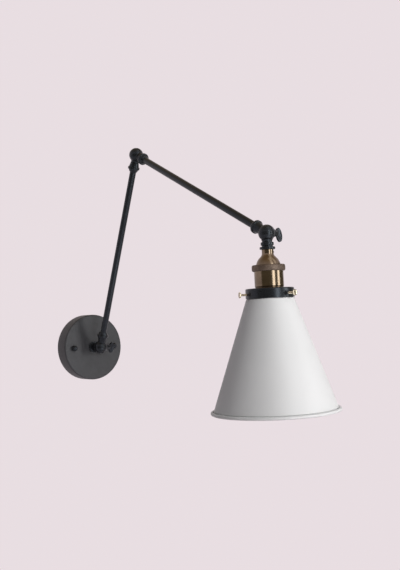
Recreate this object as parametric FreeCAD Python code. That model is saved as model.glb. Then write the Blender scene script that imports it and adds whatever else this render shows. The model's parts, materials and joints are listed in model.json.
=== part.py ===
import FreeCAD
import Part
import math
import os

Vector = FreeCAD.Vector

# Articulated wall lamp, in millimetres.
# The origin is the middle of the wall plate's back, on the wall. +Z is up and the lamp stands out along -Y.
# Both arms and the shade turn about axes along X.

# Pose at rest, degrees from straight up towards the room
lower_arm_lean = 24.0
upper_arm_lean = 118.0

# Arms
arm_length = 330.0
tube_d = 10.0
tube_wall = 1.0

# Knuckle joints, one half on each arm
ball_d = 22.0
knuckle_reach = 23.0
knuckle_neck_d = 12.0
knuckle_neck_flare = 4.0
flange_d = 18.4
flange_t = 3.6
flange_edge_r = 1.1
ferrule_d = 15.2
ferrule_end_d = 10.8
ferrule_length = 4.6
spigot_length = 12.0
face_gap = 1.0
ball_clearance = 0.5
wire_bore_d = 6.0
recess_d = 16.8
recess_depth = 3.5
pivot_boss_d = 9.2
washer_d = 20.6
washer_band = 1.5

# Pivot screws and their oval thumb wings
pivot_screw_d = 5.0
pivot_screw_end = 8.0
seat_depth = 2.0
wing_collar_d = 12.4
wing_stem_d = 8.2
wing_stem_length = 7.2
wing_drop = 2.2
wing_width = 9.6
wing_length = 19.0
wing_end_r = 3.6
wing_t = 3.2
wing_edge_r = 1.2
base_wing_turn = 22.0
head_wing_turn = -8.0
elbow_screw_head_d = 9.6
elbow_screw_head_h = 2.4

# Wall plate
plate_d = 110.4
plate_depth = 25.5
plate_wall = 1.2
plate_edge_r = 2.6

# Bracket behind the plate
bracket_width = 20.0
bracket_t = 2.5
bracket_end_gap = 2.0
wall_slot_width = 5.0
wall_slot_length = 12.0
wall_slot_inset = 11.7
canopy_screw_d = 4.0
canopy_screw_inset = 16.5
canopy_knob_d = 6.8
canopy_knob_h = 8.4
canopy_boss_d = 8.0
canopy_boss_h = 3.5
earth_tab_width = 14.0
earth_tab_length = 12.0
earth_screw_d = 4.0
earth_screw_head_d = 7.4
earth_screw_head_h = 2.4

# Screw slots
screw_slot_width = 1.1
screw_slot_depth = 1.2

# Nipple that joins the base knuckle to the plate
nipple_d = 10.0
nipple_bore_d = 6.4
nipple_engagement = 8.0
nipple_tail = 4.0
nipple_washer_d = 19.0
nipple_washer_t = 1.0
nut_flats = 14.0
nut_t = 4.0

# Terminal block in the plate
block_width = 26.0
block_height = 14.0
block_depth = 12.0
block_margin = 3.0
pole_pitch = 13.0
pole_bore_d = 3.2
pole_depth = 6.0
terminal_screw_d = 4.0
terminal_screw_pitch = 8.0
block_screw_d = 3.0
block_screw_head_d = 5.4
block_screw_head_h = 2.2

# Insulated wires
wire_d = 2.5
wire_pitch = 2.7
wire_bend_r = 4.0

# Head below its pivot: neck, lock ring and brass socket
head_neck_d = 13.2
head_bead_d = 17.0
head_bead_start = 12.0
head_bead_t = 4.2
head_bead_edge_r = 1.8
head_neck_end = 18.0
head_throat_d = 14.4
lock_ring_d = 20.2
lock_ring_t = 3.4
lock_ring_edge_r = 1.0
cap_neck_d = 15.2
cap_neck_length = 7.0
cap_thread_length = 9.0
cap_dome_d = 32.4
cap_dome_height = 14.0
cap_dome_bulge = 1.1
cap_wall = 1.0
cap_skirt = 2.0
set_screw_d = 3.2
set_screw_proud = 0.8
set_screw_angle = -30.0
socket_ring_d = 43.2
socket_ring_height = 8.2
socket_ring_edge_r = 2.0
socket_ring_lip = 1.0
shell_d = 37.8
shell_wall = 0.9
shell_length = 43.0
shell_bead_t = 1.4
shell_bead_proud = 1.4
shell_lip = 2.2
core_top_gap = 2.0
core_floor = 13.0
contact_well_depth = 4.2
screw_shell_d = 28.4
screw_shell_wall = 0.8
screw_shell_length = 25.0
contact_width = 5.0
contact_t = 0.6
contact_rise = 3.2
contact_reach = 6.0
socket_terminal_offset = 9.0
socket_terminal_d = 3.0
socket_terminal_head_d = 6.0
socket_terminal_head_h = 2.6

# Shade holder with its three thumb screws
holder_top = 71.2
holder_d = 62.8
holder_height = 12.8
holder_wall = 1.2
holder_edge_r = 1.6
holder_nut_d = 45.0
holder_nut_t = 3.2
holder_nut_edge_r = 0.4
thumb_screw_count = 3
thumb_screw_first_angle = 157.5
thumb_drop = 1.2
thumb_shank_d = 3.0
thumb_head_d = 8.0
thumb_head_t = 1.7
thumb_stand_out = 10.2
thumb_boss_d = 6.0

# Shade
shade_neck_room = 2.4
shade_neck_headroom = 1.3
shade_lip = 0.6
shade_lip_t = 1.4
shade_top_d = 61.6
shade_rim_d = 160.0
shade_depth = 143.9
shade_wall = 0.9
rim_bead_d = 4.2

# Clearances
fit_clearance = 0.05
turning_clearance = 0.08
seat_clearance = 0.05
tip_clearance = 0.15
stack_clearance = 0.2

# Shares and margins
ease_share = 0.45
slot_share = 0.6
terminal_share = 0.75
cut_margin = 1.0

# Places that follow from the sizes above
base_pivot = Vector(0, -(plate_depth + knuckle_reach), 0)


def along(lean, length):
    """Offset of a given length at an angle from straight up towards the room."""
    angle = math.radians(lean)
    return Vector(0, -length * math.sin(angle), length * math.cos(angle))


elbow_pivot = base_pivot + along(lower_arm_lean, arm_length)
head_pivot = elbow_pivot + along(upper_arm_lean, arm_length)
ball_r = ball_d / 2
seat_x = ball_r - seat_depth
tube_start = knuckle_reach + ferrule_length
plate_inner_r = plate_d / 2 - plate_wall
canopy_screw_x = plate_d / 2 - canopy_screw_inset
wall_slot_x = canopy_screw_x - wall_slot_inset
block_middle_z = -(bracket_width / 2 + block_margin + block_height / 2)
wire_plane = bracket_t + pole_depth
lock_ring_end = head_neck_end + lock_ring_t
cap_neck_end = lock_ring_end + cap_neck_length
cap_shoulder = cap_neck_end + cap_dome_height
cap_skirt_end = cap_shoulder + cap_skirt
cap_outer_r = shell_d / 2
shell_top = cap_skirt_end + stack_clearance
shell_end = shell_top + shell_length
core_top = shell_top + core_top_gap
core_end = shell_end - shell_wall
core_r = shell_d / 2 - shell_wall - stack_clearance
core_bore_r = screw_shell_d / 2 + stack_clearance
core_floor_at = core_top + core_floor
well_floor_at = core_floor_at - contact_well_depth
well_r = contact_reach + contact_width / 2
terminal_depth = (core_floor - contact_well_depth) * terminal_share
holder_end = holder_top + holder_height
thumb_level = holder_top + holder_height / 2 + thumb_drop
shade_neck_d = holder_d - 2 * (holder_wall + shade_neck_room)
shade_neck_top = holder_top + holder_wall + shade_neck_headroom
shade_shoulder = holder_end + stack_clearance
shade_end = shade_shoulder + shade_depth
wire_start = ball_r + ball_clearance + stack_clearance
wire_r = wire_d / 2


def moved(shape, placement):
    """Copy of a shape, carried to a new place."""
    copy = shape.copy()
    copy.Placement = placement.multiply(copy.Placement)
    return copy


def leaned(shape, lean, pivot):
    """Turn a piece about the joint axis and set it at its pivot."""
    return moved(shape, FreeCAD.Placement(pivot, FreeCAD.Rotation(Vector(1, 0, 0), lean)))


def aimed(shape, direction, position):
    """Point a piece that was made along +Z in a direction and set it down."""
    return moved(shape, FreeCAD.Placement(position, FreeCAD.Rotation(Vector(0, 0, 1), direction)))


def rod(diameter, start, end):
    """Round bar from one point to another."""
    axis = end - start
    return Part.makeCylinder(diameter / 2, axis.Length, start, axis)


def pipe(outer_d, inner_d, start, end):
    """Round tube from one point to another."""
    margin = (end - start).normalize()
    return rod(outer_d, start, end).cut(rod(inner_d, start - margin, end + margin))


def block(x_range, y_range, z_range):
    """Rectangular bar between pairs of limits."""
    size = [high - low for low, high in (x_range, y_range, z_range)]
    return Part.makeBox(*size, Vector(x_range[0], y_range[0], z_range[0]))


def eased_disc(diameter, start, end, edge_r):
    """Disc along Z whose two round edges are eased."""
    disc = Part.makeCylinder(diameter / 2, end - start, Vector(0, 0, start))
    rims = [edge for edge in disc.Edges if isinstance(edge.Curve, Part.Circle)]
    return disc.makeFillet(min(edge_r, ease_share * (end - start)), rims)


def turned(outline):
    """Solid turned about the head's axis from corners of radius and distance below the pivot."""
    corners = [Vector(radius, 0, -below) for radius, below in outline]
    face = Part.Face(Part.makePolygon(corners + corners[:1]))
    return face.revolve(Vector(0, 0, 0), Vector(0, 0, 1), 360)


def union(first, *others):
    """One clean solid from overlapping ones."""
    return first.fuse(list(others)).removeSplitter()


def round_screw(head_d, head_h, shank_d, shank_length):
    """Round-headed screw: head up along +Z from the origin, shank below."""
    dome_r = ((head_d / 2) ** 2 + head_h ** 2) / (2 * head_h)
    dome = Part.makeSphere(dome_r, Vector(0, 0, head_h - dome_r))
    head = dome.common(block((-head_d, head_d), (-head_d, head_d), (0, head_h)))
    shank = Part.makeCylinder(shank_d / 2, shank_length + head_h / 4, Vector(0, 0, -shank_length))
    return union(head, shank)


def slotted_screw(head_d, head_h, shank_d, shank_length):
    """Round-headed screw with a driver slot."""
    slot_floor = head_h - min(screw_slot_depth, slot_share * head_h)
    slot = block((-head_d, head_d), (-screw_slot_width / 2, screw_slot_width / 2), (slot_floor, head_h * 2))
    return round_screw(head_d, head_h, shank_d, shank_length).cut(slot)


def round_wire(points):
    """Insulated wire along straight runs joined by tangent bends."""
    edges = []
    start = points[0]
    for before, corner, after in zip(points, points[1:], points[2:]):
        way_in = (corner - before).normalize()
        way_out = (after - corner).normalize()
        half_turn = way_in.getAngle(way_out) / 2
        back = wire_bend_r * math.tan(half_turn)
        bend_start = corner - way_in * back
        bend_end = corner + way_out * back
        inward = (way_out - way_in).normalize()
        bend_middle = corner + inward * (wire_bend_r / math.cos(half_turn) - wire_bend_r)
        edges.append(Part.LineSegment(start, bend_start).toShape())
        edges.append(Part.Arc(bend_start, bend_middle, bend_end).toShape())
        start = bend_end
    edges.append(Part.LineSegment(start, points[-1]).toShape())
    section = Part.Wire(Part.makeCircle(wire_r, points[0], points[1] - points[0]))
    return Part.Wire(edges).makePipeShell([section], True, False)


def wire_pair(start, end):
    """Two straight wires side by side along Z."""
    sides = (-wire_pitch / 2, wire_pitch / 2)
    return Part.makeCompound([rod(wire_d, Vector(x, 0, start), Vector(x, 0, end)) for x in sides])


# Knuckle joints


def side_box(side, start, end, reach):
    """Box on one side of the joint's middle plane, between two distances from it."""
    limits = sorted((side * start, side * end))
    return block(limits, (-reach, reach), (-reach, reach))


def half_knuckle(side, neck, threaded):
    """Half ball on one side of the pivot, with its neck along +Z and room inside for the wires."""
    half_gap = face_gap / 2
    room = 2 * ball_d
    ball = Part.makeSphere(ball_r)
    other_ball = Part.makeSphere(ball_r + ball_clearance)
    other_half = other_ball.common(side_box(-side, -half_gap, room, room))
    half = union(ball, neck).cut(other_half)
    recess = pipe(recess_d, pivot_boss_d, Vector(side * half_gap, 0, 0),
                  Vector(side * (half_gap + recess_depth), 0, 0))
    wire_bore = rod(wire_bore_d, Vector(0, 0, (recess_d + pivot_boss_d) / 4), Vector(0, 0, room))
    bore_limit = side_box(side, half_gap, half_gap + recess_depth, room)
    inside = wire_bore.common(Part.makeSphere(ball_r)).common(bore_limit)
    outside = wire_bore.cut(Part.makeSphere(ball_r - ball_clearance))
    half = half.cut(recess).cut(inside).cut(outside)
    if threaded:
        hole_d = pivot_screw_d + 2 * fit_clearance
        hole_end = Vector(side * (pivot_screw_end + stack_clearance), 0, 0)
        return half.cut(rod(hole_d, Vector(0, 0, 0), hole_end))
    hole_d = pivot_screw_d + 2 * turning_clearance
    seat = side_box(side, seat_x, room, room)
    return half.cut(rod(hole_d, Vector(0, 0, 0), Vector(side * ball_d, 0, 0))).cut(seat)


def taper(start_d, end_d, start, end):
    """Cone along Z between two distances from the pivot."""
    return Part.makeCone(start_d / 2, end_d / 2, end - start, Vector(0, 0, start))


def flanged_neck():
    """Neck that widens from the ball to the flange at its end."""
    flange_middle = knuckle_reach - flange_t / 2
    neck = taper(knuckle_neck_d, knuckle_neck_d + knuckle_neck_flare, ball_r, flange_middle)
    root = rod(knuckle_neck_d, Vector(0, 0, 0), Vector(0, 0, ball_r))
    flange = eased_disc(flange_d, knuckle_reach - flange_t, knuckle_reach, flange_edge_r)
    return union(root, neck, flange)


def tube_knuckle(side, threaded):
    """Half knuckle with a tapered ferrule and a spigot that enters an arm tube."""
    ferrule = taper(ferrule_d, ferrule_end_d, knuckle_reach, tube_start)
    spigot_d = tube_d - 2 * tube_wall - 2 * fit_clearance
    spigot = rod(spigot_d, Vector(0, 0, knuckle_reach), Vector(0, 0, tube_start + spigot_length))
    return half_knuckle(side, union(flanged_neck(), ferrule, spigot), threaded)


def nipple_knuckle(side, threaded):
    """Half knuckle that is screwed on the nipple of the wall plate."""
    thread = rod(nipple_d + 2 * fit_clearance, Vector(0, 0, knuckle_reach - nipple_engagement),
                 Vector(0, 0, knuckle_reach + nipple_engagement))
    return half_knuckle(side, flanged_neck(), threaded).cut(thread)


def far_end(shape):
    """Turn a near-end knuckle over to the far end of an arm."""
    return leaned(shape, 180, Vector(0, 0, arm_length))


def friction_washer():
    """Ring between the two halves of a knuckle."""
    half_t = face_gap / 2 - seat_clearance
    return pipe(washer_d, washer_d - 2 * washer_band, Vector(-half_t, 0, 0), Vector(half_t, 0, 0))


def oval_plate(width, length, end_r, thickness):
    """Oval plate of four tangent arcs, upright in the XZ plane."""
    end_centre = length / 2 - end_r
    side_r = (end_centre ** 2 + (width / 2) ** 2 - end_r ** 2) / (width - 2 * end_r)
    side_centre = side_r - width / 2
    share = side_r / (side_r - end_r)
    joint_x = side_centre * (share - 1)
    joint_z = end_centre * share
    front = -thickness / 2
    upper = (Vector(joint_x, front, joint_z), Vector(-joint_x, front, joint_z))
    lower = (Vector(-joint_x, front, -joint_z), Vector(joint_x, front, -joint_z))
    arcs = [
        Part.Arc(upper[0], Vector(0, front, length / 2), upper[1]),
        Part.Arc(upper[1], Vector(-width / 2, front, 0), lower[0]),
        Part.Arc(lower[0], Vector(0, front, -length / 2), lower[1]),
        Part.Arc(lower[1], Vector(width / 2, front, 0), upper[0])]
    outline = Part.Wire([arc.toShape() for arc in arcs])
    return Part.Face(outline).extrude(Vector(0, thickness, 0))


def flat_rims(plate):
    """Edges round the two faces of a plate that lies across Y."""
    return [edge for edge in plate.Edges if isinstance(edge.Curve, Part.Circle)]


def wing_screw(turn):
    """Pivot screw along +X, with an oval wing to turn it by hand."""
    seat = seat_x + seat_clearance
    shank = rod(pivot_screw_d, Vector(-pivot_screw_end, 0, 0), Vector(seat + wing_stem_length / 2, 0, 0))
    collar = taper(wing_collar_d, wing_stem_d, seat, seat + wing_stem_length)
    stem = taper(wing_stem_d, wing_t, seat + wing_stem_length, seat + wing_stem_length + wing_width / 2)
    neck = aimed(union(collar, stem), Vector(1, 0, 0), Vector(0, 0, 0))
    wing = oval_plate(wing_width, wing_length, wing_end_r, wing_t)
    wing = wing.makeFillet(min(wing_edge_r, ease_share * wing_t), flat_rims(wing))
    wing.translate(Vector(seat + wing_stem_length + wing_width / 2, 0, -wing_drop))
    return leaned(union(shank, neck, wing), turn, Vector(0, 0, 0))


def elbow_screw():
    """Plain slotted pivot screw of the elbow, along +X."""
    seat = seat_x + seat_clearance
    screw = slotted_screw(elbow_screw_head_d, elbow_screw_head_h, pivot_screw_d, seat + pivot_screw_end)
    return aimed(screw, Vector(1, 0, 0), Vector(seat, 0, 0))


def arm_tube():
    """Straight arm tube between the ferrules of its two knuckles."""
    start = Vector(0, 0, tube_start)
    return pipe(tube_d, tube_d - 2 * tube_wall, start, Vector(0, 0, arm_length - tube_start))


def arm_wires():
    """Two wires inside an arm, from one ball to the other."""
    return wire_pair(wire_start, arm_length - wire_start)


# Wall plate and what it covers


def front_rims(dish):
    """Round edges of a disc across Y, apart from those on the wall's side."""
    rims = [edge for edge in dish.Edges if isinstance(edge.Curve, Part.Circle)]
    return [edge for edge in rims if edge.CenterOfMass.y < -plate_depth / 2]


def wall_plate():
    """Dished round plate, open towards the wall, with holes for the nipple and two screws."""
    dish = rod(plate_d, Vector(0, 0, 0), Vector(0, -plate_depth, 0))
    dish = dish.makeFillet(plate_edge_r, front_rims(dish))
    hollow = rod(2 * plate_inner_r, Vector(0, plate_wall, 0), Vector(0, plate_wall - plate_depth, 0))
    hollow = hollow.makeFillet(max(plate_edge_r - plate_wall, plate_wall / 2), front_rims(hollow))
    dish = dish.cut(hollow)
    dish = dish.cut(rod(nipple_d + 2 * turning_clearance, Vector(0, 0, 0), Vector(0, -2 * plate_depth, 0)))
    for x in (-canopy_screw_x, canopy_screw_x):
        hole_d = canopy_screw_d + 2 * stack_clearance
        dish = dish.cut(rod(hole_d, Vector(x, 0, 0), Vector(x, -2 * plate_depth, 0)))
    return dish


def wall_slot(x):
    """Oblong hole along X for one wall screw."""
    half_run = (wall_slot_length - wall_slot_width) / 2
    ends = [rod(wall_slot_width, Vector(x + run, cut_margin, 0), Vector(x + run, -2 * bracket_t, 0))
            for run in (-half_run, half_run)]
    half_width = wall_slot_width / 2
    middle = block((x - half_run, x + half_run), (-2 * bracket_t, cut_margin), (-half_width, half_width))
    return union(middle, *ends)


def wall_bracket():
    """Cross-shaped strap on the wall that holds the plate, the terminal block and the earth screw."""
    half_width = bracket_width / 2
    half_length = math.sqrt(plate_inner_r ** 2 - half_width ** 2) - bracket_end_gap
    back = (-bracket_t, 0)
    strap = block((-half_length, half_length), back, (-half_width, half_width))
    tab_end = block_middle_z - block_height / 2 - block_margin
    block_tab = block((-block_width / 2, block_width / 2), back, (tab_end, 0))
    earth_tab = block((-earth_tab_width / 2, earth_tab_width / 2), back, (0, half_width + earth_tab_length))
    bosses = [rod(canopy_boss_d, Vector(x, 0, 0), Vector(x, -bracket_t - canopy_boss_h, 0))
              for x in (-canopy_screw_x, canopy_screw_x)]
    bracket = union(strap, block_tab, earth_tab, *bosses)
    room = 2 * plate_depth
    holes = [rod(canopy_screw_d + 2 * fit_clearance, Vector(x, room, 0), Vector(x, -room, 0))
             for x in (-canopy_screw_x, canopy_screw_x)]
    for x in (-wall_slot_x, wall_slot_x):
        holes.append(wall_slot(x))
    earth_z = half_width + earth_tab_length / 2
    for screw_d, z in ((earth_screw_d, earth_z), (block_screw_d, block_middle_z)):
        holes.append(rod(screw_d + 2 * fit_clearance, Vector(0, room, z), Vector(0, -room, z)))
    return bracket.cut(holes)


def canopy_screws():
    """Two screws with round knobs, through the plate's front into the bracket."""
    screw = round_screw(canopy_knob_d, canopy_knob_h, canopy_screw_d, plate_depth - seat_clearance)
    front = -plate_depth - seat_clearance
    return Part.makeCompound([aimed(screw, Vector(0, -1, 0), Vector(x, front, 0))
                              for x in (-canopy_screw_x, canopy_screw_x)])


def earth_screw():
    """Screw for the supply's earth lead, on the bracket's upper tab."""
    screw = slotted_screw(earth_screw_head_d, earth_screw_head_h, earth_screw_d, bracket_t)
    earth_z = bracket_width / 2 + earth_tab_length / 2
    return aimed(screw, Vector(0, -1, 0), Vector(0, -bracket_t - seat_clearance, earth_z))


def terminal_places():
    """Middle of each terminal screw, across and up."""
    return [(x, block_middle_z + z) for x in (-pole_pitch / 2, pole_pitch / 2)
            for z in (-terminal_screw_pitch / 2, terminal_screw_pitch / 2)]


def terminal_block():
    """Two-pole block on the bracket's lower tab."""
    front = -bracket_t - block_depth
    low = block_middle_z - block_height / 2
    high = block_middle_z + block_height / 2
    body = block((-block_width / 2, block_width / 2), (front, -bracket_t), (low, high))
    holes = [rod(pole_bore_d, Vector(x, -wire_plane, low - cut_margin),
                 Vector(x, -wire_plane, high + cut_margin))
             for x in (-pole_pitch / 2, pole_pitch / 2)]
    screw_hole_d = terminal_screw_d + 2 * fit_clearance
    for x, z in terminal_places():
        holes.append(rod(screw_hole_d, Vector(x, -wire_plane, z), Vector(x, front - cut_margin, z)))
    screw_room = block_screw_d + 2 * stack_clearance
    head_room = block_screw_head_d + 2 * stack_clearance
    outside = Vector(0, front - cut_margin, block_middle_z)
    holes.append(rod(screw_room, Vector(0, 0, block_middle_z), outside))
    holes.append(rod(head_room, Vector(0, front + block_depth / 2, block_middle_z), outside))
    return body.cut(holes)


def terminal_block_screw():
    """Screw that holds the terminal block on its tab."""
    seat = -bracket_t - block_depth / 2 - seat_clearance
    screw = slotted_screw(block_screw_head_d, block_screw_head_h, block_screw_d, -seat)
    return aimed(screw, Vector(0, -1, 0), Vector(0, seat, block_middle_z))


def terminal_screws():
    """Four headless screws that clamp the wires."""
    inner = -wire_plane - wire_r - seat_clearance
    outer = -bracket_t - block_depth + screw_slot_depth / 2
    screws = []
    for x, z in terminal_places():
        screw = rod(terminal_screw_d, Vector(x, inner, z), Vector(x, outer, z))
        slot_floor = outer + screw_slot_depth / 2
        slot = block((x - terminal_screw_d, x + terminal_screw_d), (outer - cut_margin, slot_floor),
                     (z - screw_slot_width / 2, z + screw_slot_width / 2))
        screws.append(screw.cut(slot))
    return Part.makeCompound(screws)


def nipple_end():
    """How far the nipple's tail stands from the wall."""
    return plate_depth - plate_wall - nipple_washer_t - nut_t - nipple_tail


def base_nipple():
    """Hollow threaded nipple from the base knuckle through the plate."""
    start = Vector(0, -plate_depth - nipple_engagement + stack_clearance, 0)
    return pipe(nipple_d, nipple_bore_d, start, Vector(0, -nipple_end(), 0))


def base_nipple_washer():
    """Washer behind the plate."""
    inner = plate_wall - plate_depth
    return pipe(nipple_washer_d, nipple_d + 2 * turning_clearance, Vector(0, inner, 0),
                Vector(0, inner + nipple_washer_t, 0))


def base_nipple_nut():
    """Hexagon nut that draws the base knuckle against the plate."""
    start = plate_wall - plate_depth + nipple_washer_t
    corner_r = nut_flats / 2 / math.cos(math.pi / 6)
    corners = []
    for step in range(7):
        angle = step * math.pi / 3
        corners.append(Vector(corner_r * math.cos(angle), start, corner_r * math.sin(angle)))
    nut = Part.Face(Part.makePolygon(corners)).extrude(Vector(0, nut_t, 0))
    hole_d = nipple_d + 2 * fit_clearance
    return nut.cut(rod(hole_d, Vector(0, start - cut_margin, 0), Vector(0, start + nut_t + cut_margin, 0)))


def base_wires():
    """Two wires from the base ball through the nipple to the terminal block."""
    wires = []
    for side in (-1, 1):
        near = side * wire_pitch / 2
        far = side * pole_pitch / 2
        block_top = block_middle_z + block_height / 2
        wires.append(round_wire([
            Vector(near, base_pivot.y + wire_start, 0),
            Vector(near, -wire_plane, 0),
            Vector(far, -wire_plane, block_top + wire_bend_r / 2),
            Vector(far, -wire_plane, block_middle_z)]))
    return Part.makeCompound(wires)


# Head: knuckle, brass socket, shade holder and shade, made about the head's pivot


def head_knuckle():
    """Half knuckle with a beaded neck and the threaded tail that carries the socket."""
    neck = rod(head_neck_d, Vector(0, 0, 0), Vector(0, 0, head_bead_start + head_bead_t / 2))
    bead = eased_disc(head_bead_d, head_bead_start, head_bead_start + head_bead_t, head_bead_edge_r)
    throat = rod(head_throat_d, Vector(0, 0, head_bead_start + head_bead_t / 2),
                 Vector(0, 0, head_neck_end))
    tail = rod(nipple_d, Vector(0, 0, head_neck_end - cut_margin),
               Vector(0, 0, lock_ring_end + cap_thread_length))
    return leaned(half_knuckle(1, union(neck, bead, throat, tail), False), 180, Vector(0, 0, 0))


def head_lock_ring():
    """Thin ring that locks the socket on the knuckle's tail."""
    ring = eased_disc(lock_ring_d, head_neck_end, lock_ring_end, lock_ring_edge_r)
    hole = rod(nipple_d + 2 * fit_clearance, Vector(0, 0, 0), Vector(0, 0, 2 * lock_ring_end))
    return leaned(ring.cut(hole), 180, Vector(0, 0, 0))


def below(radius, distance):
    """Point of a turned outline."""
    return Vector(radius, 0, -distance)


def socket_cap():
    """Brass cap: threaded neck, dome and a skirt under the socket ring."""
    neck_r = cap_neck_d / 2
    dome_r = cap_dome_d / 2
    bore_r = nipple_d / 2 + fit_clearance
    thread_end = lock_ring_end + cap_thread_length
    middle_r = (neck_r + dome_r) / 2
    middle_h = (cap_neck_end + cap_shoulder) / 2
    outer_middle = below(middle_r + cap_dome_bulge, middle_h - cap_dome_bulge)
    inner_middle = below(middle_r + cap_dome_bulge - cap_wall, middle_h - cap_dome_bulge + cap_wall)
    outline = [
        below(bore_r, lock_ring_end),
        below(neck_r, lock_ring_end),
        below(neck_r, cap_neck_end),
        outer_middle,
        below(dome_r, cap_shoulder),
        below(cap_outer_r, cap_shoulder),
        below(cap_outer_r, cap_skirt_end),
        below(cap_outer_r - cap_wall, cap_skirt_end),
        below(cap_outer_r - cap_wall, cap_shoulder + cap_wall),
        below(dome_r - cap_wall, cap_shoulder + cap_wall),
        inner_middle,
        below(neck_r, thread_end),
        below(bore_r, thread_end)]
    edges = []
    place = 0
    while place < len(outline):
        start = outline[place]
        end = outline[(place + 1) % len(outline)]
        if end in (outer_middle, inner_middle):
            edges.append(Part.Arc(start, end, outline[place + 2]).toShape())
            place += 2
        else:
            edges.append(Part.LineSegment(start, end).toShape())
            place += 1
    cap = Part.Face(Part.Wire(edges)).revolve(Vector(0, 0, 0), Vector(0, 0, 1), 360)
    return cap.cut(set_screw(set_screw_d + 2 * fit_clearance, 2 * set_screw_proud, stack_clearance))


def set_screw(diameter, proud, deeper):
    """Radial bar at the set screw's place in the cap's neck."""
    angle = math.radians(set_screw_angle)
    way = Vector(math.cos(angle), math.sin(angle), 0)
    level = Vector(0, 0, -(lock_ring_end + cap_neck_length / 2))
    inner = nipple_d / 2 + fit_clearance + stack_clearance - deeper
    return rod(diameter, level + way * inner, level + way * (cap_neck_d / 2 + proud))


def cap_set_screw():
    """Small screw in the side of the cap's neck."""
    return set_screw(set_screw_d, set_screw_proud, 0)


def socket_ring():
    """Bronze ring that holds the cap and the shell together."""
    top = cap_shoulder - socket_ring_lip - stack_clearance
    ring = eased_disc(socket_ring_d, top, top + socket_ring_height, socket_ring_edge_r)
    lip_hole = rod(cap_dome_d + 2 * stack_clearance, Vector(0, 0, 0), Vector(0, 0, shell_end))
    bore_start = Vector(0, 0, cap_shoulder - stack_clearance)
    bore = rod(shell_d + 2 * fit_clearance, bore_start, Vector(0, 0, shell_end))
    return leaned(ring.cut(lip_hole).cut(bore), 180, Vector(0, 0, 0))


def socket_shell():
    """Brass sleeve of the socket, with a bead that the shade holder seats on and a lip below."""
    outer_r = shell_d / 2
    inner_r = outer_r - shell_wall
    bead_r = outer_r + shell_bead_proud
    bead_end = holder_top - seat_clearance
    return turned([
        (inner_r, shell_top), (outer_r, shell_top),
        (outer_r, bead_end - shell_bead_t), (bead_r, bead_end - shell_bead_t),
        (bead_r, bead_end), (outer_r, bead_end),
        (outer_r, shell_end), (inner_r - shell_lip, shell_end),
        (inner_r - shell_lip, core_end), (inner_r, core_end)])


def socket_core():
    """Ceramic body of the socket: bore open below, a well for the contact, holes for terminal screws."""
    core = turned([(0, core_top), (core_r, core_top), (core_r, core_end - seat_clearance),
                   (core_bore_r, core_end - seat_clearance), (core_bore_r, core_floor_at),
                   (well_r, core_floor_at), (well_r, well_floor_at), (0, well_floor_at)])
    hole_d = socket_terminal_d + 2 * fit_clearance
    hole_end = -core_top - terminal_depth - stack_clearance
    for x in (-socket_terminal_offset, socket_terminal_offset):
        core = core.cut(rod(hole_d, Vector(x, 0, 0), Vector(x, 0, hole_end)))
    return core


def socket_screw_shell():
    """Threaded contact that the bulb screws into."""
    outer_r = screw_shell_d / 2
    inner_r = outer_r - screw_shell_wall
    top = core_floor_at + seat_clearance
    return turned([(well_r, top), (outer_r, top), (outer_r, top + screw_shell_length),
                   (inner_r, top + screw_shell_length), (inner_r, top + screw_shell_wall),
                   (well_r, top + screw_shell_wall)])


def socket_centre_contact():
    """Sprung tongue in the middle of the socket."""
    floor = well_floor_at + seat_clearance
    tip = floor + contact_rise
    profile = [
        (-contact_reach, floor), (-contact_reach / 2, floor),
        (contact_reach / 4, tip), (contact_reach / 2, tip),
        (contact_reach / 2, tip + contact_t), (0, tip + contact_t),
        (-contact_reach * 3 / 4, floor + contact_t), (-contact_reach, floor + contact_t)]
    corners = [Vector(x, -contact_width / 2, -down) for x, down in profile]
    return Part.Face(Part.makePolygon(corners + corners[:1])).extrude(Vector(0, contact_width, 0))


def socket_terminal_screws():
    """Two screws on top of the ceramic body."""
    screw = slotted_screw(socket_terminal_head_d, socket_terminal_head_h, socket_terminal_d, terminal_depth)
    top = -core_top + seat_clearance
    return Part.makeCompound([aimed(screw, Vector(0, 0, 1), Vector(x, 0, top))
                              for x in (-socket_terminal_offset, socket_terminal_offset)])


def socket_wires():
    """Two wires from the head's ball to the socket's terminal screws."""
    beside = socket_terminal_offset - socket_terminal_head_d / 2 - wire_r - stack_clearance
    spread_end = core_top - socket_terminal_head_h - stack_clearance
    spread_start = lock_ring_end + cap_thread_length + wire_bend_r
    wires = []
    for side in (-1, 1):
        near = side * wire_pitch / 2
        far = side * beside
        wires.append(round_wire([
            Vector(near, 0, -wire_start), Vector(near, 0, -spread_start),
            Vector(far, 0, -spread_end), Vector(far, 0, -core_top + stack_clearance)]))
    return Part.makeCompound(wires)


def thumb_way(number):
    """Outward direction of one thumb screw."""
    angle = math.radians(thumb_screw_first_angle + number * 360 / thumb_screw_count)
    return Vector(math.cos(angle), math.sin(angle), 0)


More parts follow.
